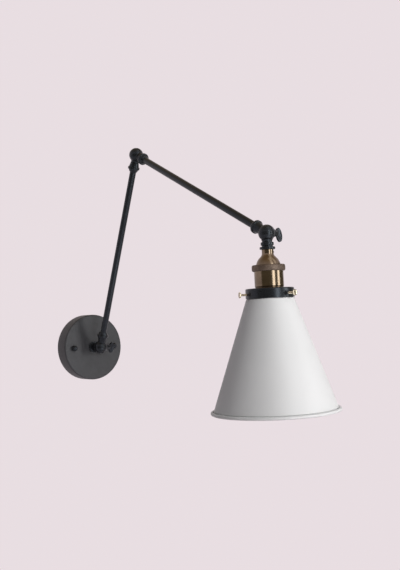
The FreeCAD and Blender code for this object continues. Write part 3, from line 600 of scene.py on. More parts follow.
def noise(tree, place, scale, detail=3.0, stretch=(1, 1, 1)):
    """Noise over the surface, drawn out where a stretch is given."""
    mapping = tree.nodes.new("ShaderNodeMapping")
    mapping.inputs["Scale"].default_value = stretch
    tree.links.new(place, mapping.inputs["Vector"])
    pattern = tree.nodes.new("ShaderNodeTexNoise")
    pattern.inputs["Scale"].default_value = scale
    pattern.inputs["Detail"].default_value = detail
    tree.links.new(mapping.outputs["Vector"], pattern.inputs["Vector"])
    return pattern.outputs["Fac"]


def spread(tree, value, low, high):
    """Noise spread between two values."""
    node = tree.nodes.new("ShaderNodeMapRange")
    for socket, number in zip(node.inputs[1:5], (noise_low, noise_high, low, high)):
        socket.default_value = number
    tree.links.new(value, node.inputs["Value"])
    return node.outputs["Result"]


def shades(tree, value, stops):
    """Colour ramp from places and colours."""
    node = tree.nodes.new("ShaderNodeValToRGB")
    elements = node.color_ramp.elements
    for stop in stops[1:-1]:
        elements.new(stop[0])
    for element, (place, tint) in zip(elements, stops):
        element.position = place
        element.color = (*tint, 1.0)
    tree.links.new(value, node.inputs["Fac"])
    return node.outputs["Color"]


def toned(tint, amount):
    """Lighter or darker tone of a colour."""
    return tuple(min(1.0, channel * amount) for channel in tint)


def surfaced(tree, shader, tint, height, roughness, depth):
    """Colour, and a gloss and a relief in metres that both follow one height."""
    bump = tree.nodes.new("ShaderNodeBump")
    bump.inputs["Distance"].default_value = depth
    tree.links.new(tint, shader.inputs["Base Color"])
    tree.links.new(spread(tree, height, *roughness), shader.inputs["Roughness"])
    tree.links.new(height, bump.inputs["Height"])
    link(tree, (bump, "Normal", shader, "Normal"))


def mottled(name, tint, contrast, mottle, roughness, grain, depth, **uniform):
    """Finish whose colour, gloss and surface vary a little, and whose other inputs are the same all over."""
    material, tree, shader, place = shader_tree(name)
    darker, lighter = toned(tint, 1 - contrast), toned(tint, 1 + contrast)
    stops = [(noise_low, darker), (noise_middle, tint), (noise_high, lighter)]
    clouds = shades(tree, noise(tree, place, mottle), stops)
    surfaced(tree, shader, clouds, noise(tree, place, grain, detail=2.0), roughness, depth)
    for socket, value in uniform.items():
        shader.inputs[socket.replace("_", " ")].default_value = value
    return material


def black_paint(colours):
    """Satin black paint with a fine grain."""
    return mottled("satin_black_paint", colours.black, contrast=0.14, mottle=90, roughness=(0.25, 0.31),
                   grain=700, depth=0.003 * MM,
                   Specular_IOR_Level=0.36, Specular_Tint=(0.75, 0.87, 1.0, 1))


def plate_paint(colours):
    """Duller black paint of the wall plate."""
    return mottled("dull_black_paint", colours.dull_black, contrast=0.10, mottle=90, roughness=(0.47, 0.54),
                   grain=700, depth=0.003 * MM, Specular_IOR_Level=0.45)


def white_enamel(colours):
    """White enamel with a soft gloss and a faint ripple."""
    return mottled("white_enamel_gloss", colours.white, contrast=0.01, mottle=14, roughness=(0.45, 0.50),
                   grain=120, depth=0.002 * MM, Specular_IOR_Level=0.40)


def aged_brass(colours):
    """Turned brass with a brown tarnish."""
    tint = colours.brass
    material, tree, shader, place = shader_tree("aged_turned_brass")
    tarnish_end, worn_start = 0.28, 0.75
    tarnished, worn = toned(tint, 0.72), toned(tint, 1.18)
    stops = [(tarnish_end, tarnished), (noise_middle, tint), (worn_start, worn)]
    clouds = shades(tree, noise(tree, place, scale=70, detail=5.0), stops)
    turning = noise(tree, place, scale=25, detail=2.0, stretch=(1, 1, 160))
    surfaced(tree, shader, clouds, turning, roughness=(0.15, 0.21), depth=0.002 * MM)
    shader.inputs["Metallic"].default_value = 1.0
    return material


def bronze(colours):
    """Brown satin bronze."""
    return mottled("brown_bronze", colours.bronze, contrast=0.22, mottle=120, roughness=(0.58, 0.68),
                   grain=700, depth=0.006 * MM, Metallic=1.0)


def bright_brass(colours):
    """Bright turned brass."""
    return mottled("bright_turned_brass", colours.bright, contrast=0.10, mottle=160, roughness=(0.16, 0.26),
                   grain=900, depth=0.01 * MM, Metallic=1.0)


def zinc_steel(colours):
    """Zinc-plated steel with a cloudy spangle."""
    return mottled("zinc_plated_steel", colours.zinc, contrast=0.12, mottle=220, roughness=(0.28, 0.42),
                   grain=400, depth=0.01 * MM, Metallic=1.0)


def green_steel(colours):
    """Green-dyed zinc of the earth screw."""
    return mottled("green_zinc", colours.green, contrast=0.2, mottle=200, roughness=(0.30, 0.44),
                   grain=500, depth=0.01 * MM, Metallic=0.7)


def white_ceramic(colours):
    """Unglazed ceramic with a sandy surface."""
    return mottled("unglazed_ceramic", colours.ceramic, contrast=0.05, mottle=110, roughness=(0.55, 0.70),
                   grain=1300, depth=0.05 * MM)


def friction_fibre(colours):
    """Pressed fibre."""
    return mottled("pressed_fibre", colours.fibre, contrast=0.3, mottle=900, roughness=(0.75, 0.9),
                   grain=1800, depth=0.06 * MM)


def block_plastic(colours):
    """Moulded cream plastic."""
    return mottled("moulded_block_plastic", colours.plastic, contrast=0.05, mottle=60, roughness=(0.42, 0.55),
                   grain=1200, depth=0.02 * MM)


def wire_insulation(colours):
    """Smooth insulation, one colour for each wire of a pair."""
    material, tree, shader, place = shader_tree("wire_insulation_pair")
    split = tree.nodes.new("ShaderNodeSeparateXYZ")
    tree.links.new(place, split.inputs["Vector"])
    fine = noise(tree, place, scale=500, detail=2.0)
    band = 0.1
    lighter = 1.2
    left_place, right_place = 0.05, 0.85
    apart = (right_place - left_place) / 2
    side = sums(tree, "MULTIPLY", sums(tree, "SIGN", split.outputs["X"]), apart)
    side = sums(tree, "ADD", side, left_place + apart)
    stops = []
    for start, tint in ((left_place, colours.wire_left), (right_place, colours.wire_right)):
        stops += [(start, tint), (start + band, toned(tint, lighter))]
    pair = shades(tree, sums(tree, "ADD", side, sums(tree, "MULTIPLY", fine, band)), stops)
    surfaced(tree, shader, pair, fine, roughness=(0.38, 0.5), depth=0.01 * MM)
    return material


finishes = {make.__name__: make for make in (
    black_paint, plate_paint, white_enamel, aged_brass, bronze, bright_brass, zinc_steel, green_steel,
    white_ceramic, friction_fibre, block_plastic, wire_insulation)}
made_finishes = {}


def finish(slot):
    """Finish of a material slot, made once."""
    if slot not in made_finishes:
        made_finishes[slot] = finishes[slot](settings("lamp_colours"))
    return made_finishes[slot]


def place_piece(name, mesh, body, node, slot, sharp=math.radians(32), look=None):
    """Piece at the origin that rides on its body in place of a node, with a look of its own if given."""
    mesh.name = name
    mesh.shade_smooth()
    mesh.set_sharp_from_angle(angle=sharp)
    mesh.materials.clear()
    mesh.materials.append(finish(look or slot))
    piece = set_down(name, mesh)
    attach(piece, body)
    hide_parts(node)
    return piece


# Wall plate


class MakePlate(bpy.types.Operator):
    """Dished wall plate with its two knob screws."""

    bl_idname = "wall_lamp.make_plate"
    bl_label = "Wall plate and screws"

    def execute(self, context):
        sizes = settings("lamp_plate")
        radius = box_radius("wall_plate")
        depth = -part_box("wall_plate")[0][1]
        inside = radius - sizes.wall
        floor = depth - sizes.wall
        back_ease = 0.3 * MM
        outline = eased([
            (radius, 0, back_ease), (radius, depth, sizes.edge),
            (sizes.nipple_hole, depth, 0), (sizes.nipple_hole, floor, 0),
            (inside, floor, sizes.edge - sizes.wall), (inside, 0, back_ease)], closed=True)
        dish = turned(outline, sides=160, closed=True)
        holes = [moved(rod(sizes.screw_hole, 0, 2 * depth), Matrix.Translation((x, 0, 0)))
                 for x in (-sizes.screw_offset, sizes.screw_offset)]
        dish = combined(dish, joined(*holes), "DIFFERENCE")
        place_piece("plate_dish", moved(dish, out_of_wall), "wall_base", "wall_plate", "black_paint",
                    look="plate_paint")
        screw = round_screw(sizes.knob, sizes.knob_rise, sizes.screw_shank, depth)
        row = {"Count": 2, "First": (-sizes.screw_offset, 0, depth), "Step": (2 * sizes.screw_offset, 0, 0),
               "Finish": finish("black_paint")}
        pair = grown(row_tree(), screw, row)
        place_piece("plate_screw_pair", moved(pair, out_of_wall), "wall_base", "canopy_screws", "black_paint")
        return {"FINISHED"}


# Arms and knuckles


def half_ball(blind):
    """Half of a knuckle's ball along +Z from its middle plane, with its pivot hole."""
    sizes = settings("lamp_joints")
    face = sizes.face_gap / 2
    rim = math.asin(face / ball_radius)
    hole = sizes.pivot_hole
    start = [(hole, face, 0), (ball_radius * math.cos(rim), face, sizes.soft_edge)]
    if blind:
        dome = plain(arc((0, 0), ball_radius, rim, math.pi / 2)[1:])
        corners = [(0, sizes.pivot_depth, 0), (hole, sizes.pivot_depth, 0)] + start + dome
        return turned(eased(corners, closed=False), knuckle_sides)
    dome = plain(arc((0, 0), ball_radius, rim, math.asin(sizes.seat / ball_radius))[1:])
    return turned(eased(start + dome + [(hole, sizes.seat, 0)], closed=True), knuckle_sides, closed=True)


def knuckle(side, neck, blind):
    """Half ball on one side of the pivot with its neck along +Z, cut clear of the other half."""
    sizes = settings("lamp_joints")
    this_side = Matrix.Rotation(side * math.pi / 2, 4, "Y")
    other_side = Matrix.Rotation(-side * math.pi / 2, 4, "Y")
    whole = combined(moved(half_ball(blind), this_side), turned(neck, knuckle_sides), "UNION")
    room = ball_radius + sizes.ball_room
    nearly_half = 0.49
    back = -nearly_half * sizes.face_gap
    other = [Vector((0, back))] + arc((0, 0), room, math.asin(back / room), math.pi / 2)
    return combined(whole, moved(turned(other, knuckle_sides), other_side), "DIFFERENCE")


def neck_root(radius):
    """Corners of a neck from inside the ball outwards, with a small hollow fillet."""
    inside, foot, clear = 5 * MM, 6.4 * MM, 10.4 * MM
    wider, fillet = 2.0 * MM, 2.2 * MM
    return [(0, inside, 0), (radius + wider, foot, 0), (radius, clear, fillet)]


def flanged_neck():
    """Corners of a neck that widens from the ball to its flange."""
    sizes = settings("lamp_joints")
    start = sizes.reach - sizes.flange_depth
    root_ease, edge_ease = 0.6 * MM, 1.3 * MM
    return neck_root(sizes.neck) + [
        (sizes.neck + sizes.flare, start, root_ease), (sizes.flange, start, edge_ease),
        (sizes.flange, sizes.reach, edge_ease)]


def plate_neck():
    """Neck whose flange butts against the wall plate."""
    return eased(flanged_neck() + [(0, settings("lamp_joints").reach, 0)], closed=False)


def tube_neck():
    """Neck with a rounded ferrule down to its tube."""
    sizes = settings("lamp_joints")
    tube_start = sizes.reach + sizes.ferrule_length
    swell = sizes.reach + sizes.ferrule_length / 2
    swell_r = 0.92 * sizes.ferrule
    end_ease, swell_ease = 0.4 * MM, 3.0 * MM
    return eased(flanged_neck() + [
        (sizes.ferrule, sizes.reach, end_ease), (swell_r, swell, swell_ease),
        (sizes.ferrule_end, tube_start, end_ease), (0, tube_start, 0)], closed=False)


def beaded_neck():
    """Neck of the head, with its bead and throat."""
    head = settings("lamp_head")
    bead_end = head.bead_top + head.bead_depth
    throat_end = -head_span("head_lock_ring")[0]
    root_ease, bead_ease = 0.4 * MM, 1.9 * MM
    return eased(neck_root(head.neck) + [
        (head.neck, head.bead_top, root_ease), (head.bead, head.bead_top, bead_ease),
        (head.bead, bead_end, bead_ease), (head.throat, bead_end, root_ease),
        (head.throat, throat_end, 0), (0, throat_end, 0)], closed=False)


class MakeArms(bpy.types.Operator):
    """Two tubes and the six halves of the three knuckles."""

    bl_idname = "wall_lamp.make_arms"
    bl_label = "Arms and knuckles"

    def execute(self, context):
        sizes = settings("lamp_joints")
        radius = box_radius("lower_arm_tube")
        inside = radius - sizes.tube_wall
        start = sizes.reach + sizes.ferrule_length
        end = arm_length - start
        end_ease = 0.2 * MM
        corners = [(inside, start, 0), (radius, start, end_ease), (radius, end, end_ease), (inside, end, 0)]
        for body, place in (("lower_arm", lower_arm), ("upper_arm", upper_arm)):
            tube = moved(turned(eased(corners, closed=True), sides=64, closed=True), place)
            place_piece(body + "_pipe", tube, body, body + "_tube", "black_paint")
        base = knuckle(-1, plate_neck(), True)
        near = knuckle(1, tube_neck(), False)
        far = knuckle(-1, tube_neck(), True)
        head = knuckle(1, beaded_neck(), False)
        halves = [
            ("base_half_ball", base, leaned(base_pivot, -math.pi / 2), "wall_base", "base_knuckle"),
            ("lower_arm_near_half_ball", near, lower_arm, "lower_arm", "lower_arm_base_knuckle"),
            ("lower_arm_far_half_ball", far, lower_arm @ far_end, "lower_arm", "lower_arm_elbow_knuckle"),
            ("upper_arm_near_half_ball", near, upper_arm, "upper_arm", "upper_arm_elbow_knuckle"),
            ("upper_arm_far_half_ball", far, upper_arm @ far_end, "upper_arm", "upper_arm_head_knuckle"),
            ("head_half_ball", head, head_place @ upside_down, "head", "head_knuckle")]
        for name, shape, place, body, node in halves:
            place_piece(name, moved(shape.copy(), place), body, node, "black_paint")
        return {"FINISHED"}


# Pivot screws


def oval_wing():
    """Dished oval paddle across Y, long along Z."""
    sizes = settings("lamp_joints")
    half_rim = sizes.wing_rim / 2
    half_web = sizes.wing_web / 2
    reach = sizes.wing_width / 2
    dish_end, rim_start = 0.45 * reach, 0.78 * reach
    dish_ease, rim_ease, edge_ease = 4 * MM, 1.2 * MM, 1.4 * MM
    coin = eased([
        (0, -half_web, 0), (dish_end, -half_web, dish_ease), (rim_start, -half_rim, rim_ease),
        (reach, -half_rim, edge_ease), (reach, half_rim, edge_ease), (rim_start, half_rim, rim_ease),
        (dish_end, half_web, dish_ease), (0, half_web, 0)], closed=False)
    wing = moved(turned(coin, knuckle_sides), out_of_wall)
    return moved(wing, Matrix.Diagonal((1, 1, sizes.wing_length / sizes.wing_width, 1)))


def wing_screw():
    """Pivot screw along +X with its stem and oval wing."""
    sizes = settings("lamp_joints")
    seat = sizes.seat + close_fit
    stem_end = seat + sizes.stem_length
    shank_end = -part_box("base_wing_screw")[0][0]
    middle = stem_end + sizes.wing_width / 2
    taper, collar_depth = 0.3 * MM, 1.2 * MM
    tip_ease, seat_ease, collar_ease, stem_ease = 0.5 * MM, 0.4 * MM, 1.0 * MM, 4.0 * MM
    root = 1.0 * MM
    screw = turned(eased([
        (0, -shank_end, 0), (sizes.pivot_screw, -shank_end, tip_ease), (sizes.pivot_screw, seat, 0),
        (sizes.collar, seat, seat_ease), (sizes.collar - taper, seat + collar_depth, collar_ease),
        (sizes.stem, stem_end, stem_ease), (sizes.wing_web / 2, middle - root, root),
        (0, middle, 0)], closed=False), screw_sides)
    screw = moved(screw, along_x)
    wing = moved(oval_wing(), Matrix.Translation((middle, 0, -sizes.wing_drop)))
    return combined(screw, wing, "UNION")


class MakePivotScrews(bpy.types.Operator):
    """Wing screws of the base and head, and the slotted screw of the elbow."""

    bl_idname = "wall_lamp.make_pivot_screws"
    bl_label = "Pivot screws"

    def execute(self, context):
        sizes = settings("lamp_joints")
        wing = wing_screw()
        wings = [("base_wing_paddle", base_pivot, "base_wing", "base_wing_screw", sizes.base_wing_turn),
                 ("head_wing_paddle", head_pivot, "head_wing", "head_wing_screw", sizes.head_wing_turn)]
        for name, pivot, body, node, turn in wings:
            place_piece(name, moved(wing.copy(), leaned(pivot, turn)), body, node, "black_paint")
        seat = sizes.seat + close_fit
        tip_room = 0.2 * MM
        shank = seat + sizes.pivot_depth - tip_room
        screw = slotted_screw(sizes.elbow_head, sizes.elbow_rise, sizes.pivot_screw, shank)
        place = lower_arm @ far_end @ Matrix.Translation((seat, 0, 0)) @ along_x
        place_piece("elbow_slotted_screw", moved(screw, place), "lower_arm", "elbow_screw", "black_paint")
        return {"FINISHED"}


# Socket


def head_ring(name, corners, node, slot, sides=socket_sides):
    """Piece of the head turned about its axis from eased corners."""
    ring = moved(turned(eased(corners, closed=True), sides, closed=True), head_place)
    place_piece(name, ring, "head", node, slot)


class MakeSocket(bpy.types.Operator):
    """Lock ring, brass cap with its set screw, bronze ring, brass sleeve and threaded bulb contact."""

    bl_idname = "wall_lamp.make_socket"
    bl_label = "Lamp socket"

    def execute(self, context):
        sizes = settings("lamp_head")
        self.lock_ring(sizes)
        self.cap(sizes)
        self.set_screw(sizes)
        self.ring(sizes)
        self.sleeve(sizes)
        self.bulb_contact(sizes)
        return {"FINISHED"}

    def lock_ring(self, sizes):
        """Thin black ring above the brass."""
        radius = box_radius("head_lock_ring")
        top, end = head_span("head_lock_ring")
        ease = 0.9 * MM
        corners = [(sizes.nipple, top, 0), (radius, top, ease), (radius, end, ease), (sizes.nipple, end, 0)]
        head_ring("neck_lock_ring", corners, "head_lock_ring", "black_paint", sides=96)

    def cap(self, sizes):
        """Brass neck and dome with a skirt inside the bronze ring."""
        top, end = head_span("socket_cap")
        skirt = box_radius("socket_cap")
        neck_end = top - sizes.cap_neck_length
        shoulder = neck_end - sizes.cap_dome_height
        wall = sizes.sheet
        start = Vector((sizes.cap_neck, neck_end))
        foot = Vector((sizes.cap_dome, shoulder))
        chord = foot - start
        bulge = sizes.cap_bulge
        dome_r = (chord.length ** 2 / 4 + bulge ** 2) / (2 * bulge)
        swell = Vector((-chord.y, chord.x)).normalized()
        middle = (start + foot) / 2 + swell * (bulge - dome_r)
        first = math.atan2(start.y - middle.y, start.x - middle.x)
        last = math.atan2(foot.y - middle.y, foot.x - middle.x)
        dome = arc(middle, dome_r, first, last)
        inner_dome = arc(middle, dome_r - wall, last, first)
        neck_ease, root_ease, skirt_ease = 0.4 * MM, 6.0 * MM, 0.2 * MM
        lost_to_root = 4
        corners = [(sizes.nipple, top, 0), (sizes.cap_neck, top, neck_ease), (start.x, start.y, root_ease)]
        corners += plain(dome[lost_to_root:])
        corners += [(skirt, shoulder, skirt_ease), (skirt, end, 0), (skirt - wall, end, 0),
                    (skirt - wall, shoulder - wall, skirt_ease)]
        corners += plain(inner_dome) + [(sizes.nipple, neck_end - 2 * wall, 0)]
        head_ring("brass_cap", corners, "socket_cap", "aged_brass")

    def set_screw(self, sizes):
        """Slotted grub screw in the cap's neck."""
        top, end = head_span("cap_set_screw")
        way = sizes.set_screw_way
        domed_share = 0.8
        rise = domed_share * sizes.set_screw_proud
        base = sizes.cap_neck + sizes.set_screw_proud - rise
        inner = sizes.nipple + 4 * close_fit
        dome = slotted_screw(sizes.set_screw, rise, sizes.set_screw, base - inner)
        level = Matrix.Translation((0, 0, (top + end) / 2))
        turn = outward((math.cos(way), math.sin(way), 0))
        place = head_place @ level @ turn @ Matrix.Translation((0, 0, base))
        place_piece("cap_grub_screw", moved(dome, place), "head", "cap_set_screw", "bronze")

    def ring(self, sizes):
        """Rounded bronze ring over the joint of cap and sleeve."""
        radius = box_radius("socket_ring")
        top, end = head_span("socket_ring")
        lip_room, lip_depth, lip_ease = 0.2 * MM, 1.0 * MM, 0.3 * MM
        edge, edge_ease = 0.8 * MM, 1.2 * MM
        swell, swell_ease = 2.0 * MM, 2.5 * MM
        lip = sizes.cap_dome + lip_room
        bore = box_radius("socket_cap") + close_fit
        corners = [
            (lip, top, lip_ease), (radius - edge, top, edge_ease), (radius, top - swell, swell_ease),
            (radius, end + swell, swell_ease), (radius - edge, end, edge_ease), (bore, end, lip_ease),
            (bore, top - lip_depth, 0), (lip, top - lip_depth, 0)]
        head_ring("bronze_ring", corners, "socket_ring", "bronze")

    def sleeve(self, sizes):
        """Brass sleeve rounded in above the bead that the holder seats on, with a turned-in lip."""
        top, end = head_span("socket_shell")
        outer = box_radius("socket_cap")
        bead = box_radius("socket_shell")
        seat = head_span("shade_holder")[0] + close_fit
        wall = sizes.sheet
        inner = outer - wall
        lip_width, lip_ease, end_ease = 2.2 * MM, 0.4 * MM, 0.8 * MM
        bead_rise, foot_rise, foot_ease = 0.9 * MM, 1.5 * MM, 3.0 * MM
        thin = 0.2 * MM
        lip = inner - lip_width
        waist = inner + thin
        bead_top = seat + bead_rise
        corners = [
            (inner, top, 0), (outer, top, 0), (outer, bead_top + foot_rise, foot_ease),
            (waist, bead_top, thin), (bead, seat + thin, thin / 2), (bead, seat, 0),
            (outer, seat, 0), (outer, end, end_ease), (lip, end, lip_ease),
            (lip, end + wall, lip_ease), (inner, end + wall, 0)]
        head_ring("brass_sleeve", corners, "socket_shell", "aged_brass")

    def bulb_contact(self, sizes):
        """Rolled thread that the bulb screws into."""
        top, end = head_span("socket_screw_shell")
        thread = threaded("bright_brass", sizes.bulb_thread, sizes.bulb_thread_depth, sizes.bulb_pitch,
                          top - end, wall=0.4 * MM, sides=96)
        place = head_place @ Matrix.Translation((0, 0, end))
        place_piece("bulb_thread_sleeve", moved(thread, place), "head", "socket_screw_shell", "bright_brass",
                    sharp=math.radians(60))


# Shade, holder and thumb screws


def thumb_place(number):
    """Place of a thumb screw, with +Z outwards from the head's axis."""
    name = "thumb_" + str(number) + "_turn"
    return Matrix.Translation(joint_places[name]) @ outward(joint_axes[name])


class MakeHolder(bpy.types.Operator):
    """Black collar with three threaded bosses."""

    bl_idname = "wall_lamp.make_holder"
    bl_label = "Shade holder"

    def execute(self, context):
        sizes = settings("lamp_head")
        radius = box_radius("shade_holder")
        top, end = head_span("shade_holder")
        wall = sizes.holder_wall
        bore_room, bore_ease = 0.08 * MM, 0.2 * MM
        top_ease, edge_ease, inner_ease = 1.6 * MM, 0.4 * MM, 0.8 * MM
        bore = box_radius("socket_cap") + bore_room
        outline = eased([
            (bore, top, bore_ease), (radius, top, top_ease), (radius, end, edge_ease),
            (radius - wall, end, edge_ease), (radius - wall, top - wall, inner_ease),
            (bore, top - wall, bore_ease)], closed=True)
        cup = moved(turned(outline, sides=144, closed=True), head_place)
        neck_room = 1.0 * MM
        boss_start = sizes.shade_neck + neck_room
        boss_end = radius - 0.3 * wall
        hole_start, hole_end = 0.5 * radius, 1.5 * radius
        places = [thumb_place(number) for number in thumb_numbers]
        bosses = [moved(rod(sizes.thumb_boss, boss_start, boss_end), place) for place in places]
        holes = [moved(rod(sizes.thumb_hole, hole_start, hole_end), place) for place in places]
        cup = combined(cup, joined(*bosses), "UNION")
        cup = combined(cup, joined(*holes), "DIFFERENCE")
        place_piece("shade_collar", cup, "head", "shade_holder", "black_paint")
        return {"FINISHED"}


class MakeThumbScrews(bpy.types.Operator):
    """Three thumb screws with threaded shanks and ribbed heads."""

    bl_idname = "wall_lamp.make_thumb_screws"
    bl_label = "Thumb screws"

    def execute(self, context):
        sizes = settings("lamp_head")
        tip_room = 0.15 * MM
        tip = sizes.shade_neck + tip_room
        reach = box_radius("shade_holder") + sizes.thumb_reach
        head_start = reach - sizes.thumb_head_depth
        into_head = 0.2 * MM
        thread_mean = sizes.thumb_shank - 0.14 * MM
        thread = threaded("bright_brass", thread_mean, depth=0.13 * MM, pitch=sizes.thumb_pitch,
                          length=head_start - tip + into_head, close=0.06 * MM, sides=24)
        head_r = sizes.thumb_head
        back_r, rim_r, dish_r = 0.62 * head_r, 0.8 * head_r, 0.55 * head_r
        edge, dish, deepest = 0.15 * MM, 0.3 * MM, 0.35 * MM
        edge_ease, rim_ease, dish_ease = 0.3 * MM, 0.4 * MM, 1.0 * MM
        disc = turned(eased([
            (0, head_start, 0), (back_r, head_start, 0), (head_r, head_start + edge, edge_ease),
            (head_r, reach - edge, edge_ease), (rim_r, reach, rim_ease), (dish_r, reach - dish, dish_ease),
            (0, reach - deepest, 0)], closed=False), screw_sides)
        rib_r, rib_room, rib_sink = 0.26 * MM, 0.3 * MM, 0.08 * MM
        rib = rod(rib_r, head_start + rib_room, reach - rib_room, sides=8)
        ring = {"Count": sizes.thumb_ribs, "Radius": head_r - rib_sink, "Finish": finish("bright_brass")}
        ribs = grown(ring_tree(), rib, ring)
        screw = joined(moved(thread, Matrix.Translation((0, 0, tip))), disc, ribs)
        for number in thumb_numbers:
            body = "thumb_" + str(number)
            place_piece("ribbed_" + body, moved(screw.copy(), thumb_place(number)), body,
                        "thumb_screw_" + str(number), "bright_brass")
        return {"FINISHED"}


class MakeShade(bpy.types.Operator):
    """White cone with a neck, a shoulder and a rolled rim under a pressed crease."""

    bl_idname = "wall_lamp.make_shade"
    bl_label = "Shade"

    def execute(self, context):
        sizes = settings("lamp_head")
        wall = sizes.shade_wall
        half = wall / 2
        top, end = head_span("lamp_shade")
        shoulder = top - sizes.shade_neck_rise
        curl_r = sizes.rim_bead - half
        curl = Vector((box_radius("lamp_shade") - sizes.rim_bead, end + sizes.rim_bead))
        corner = Vector((sizes.shade_top - half, shoulder - half))
        towards = curl - corner
        swing = math.asin(curl_r / towards.length)
        run = math.sqrt(towards.length ** 2 - curl_r ** 2)
        touch = corner + Matrix.Rotation(-swing, 2) @ towards.normalized() * run
        first = math.atan2(touch.y - curl.y, touch.x - curl.x)
        rolled_turn = math.radians(300)
        rolled = arc(curl, curl_r, first, first + rolled_turn, step=math.radians(9))
        neck = sizes.shade_neck - half
        down = (touch - corner).normalized()
        pressed = Vector((down.y, -down.x)) * sizes.rim_groove_depth
        rim_room = 0.6 * curl_r
        groove_end = touch - down * rim_room
        groove_start = groove_end - down * sizes.rim_groove
        groove = [groove_start, (groove_start + groove_end) / 2 + pressed, groove_end]
        flare, flare_depth, flare_ease = 0.6 * MM, 1.2 * MM, 1.0 * MM
        neck_ease, shoulder_ease, groove_ease = 0.9 * MM, 1.6 * MM, 0.3 * MM
        corners = [
            (neck + flare, top - half, 0), (neck, top - flare_depth, flare_ease),
            (neck, shoulder - half, neck_ease), (corner.x, corner.y, shoulder_ease)]
        corners += [(*point, groove_ease) for point in groove]
        line = eased(corners + plain(rolled), closed=False)
        shade = moved(turned(sheet(line, wall), sides=192, closed=True), head_place)
        place_piece("cone_shade", shade, "head", "lamp_shade", "white_enamel", sharp=math.radians(50))
        return {"FINISHED"}


# Hidden fittings that keep their solid shape


class DressFittings(bpy.types.Operator):
    """Finishes for the bracket, wiring, ceramic and other fittings behind the covers."""

    bl_idname = "wall_lamp.dress_fittings"
    bl_label = "Hidden fittings"

    def execute(self, context):
        slots = {part["node"]: part["material_slot"] for part in frame["record"]["subparts"]}
        for name, node in frame["nodes"].items():
            for slot in node.material_slots:
                slot.material = finish(slots[name])
        return {"FINISHED"}


# Stage


def aim(thing, place, target):
    """Set a light down facing a target."""
    thing.location = place
    thing.rotation_mode = "QUATERNION"
    thing.rotation_quaternion = (Vector(target) - Vector(place)).to_track_quat("-Z", "Y")


def room_way(turn, rise):
    """Direction into the room, turned from straight out of the wall towards +X and raised from level."""
    return Vector((math.sin(turn) * math.cos(rise), -math.cos(turn) * math.cos(rise), math.sin(rise)))


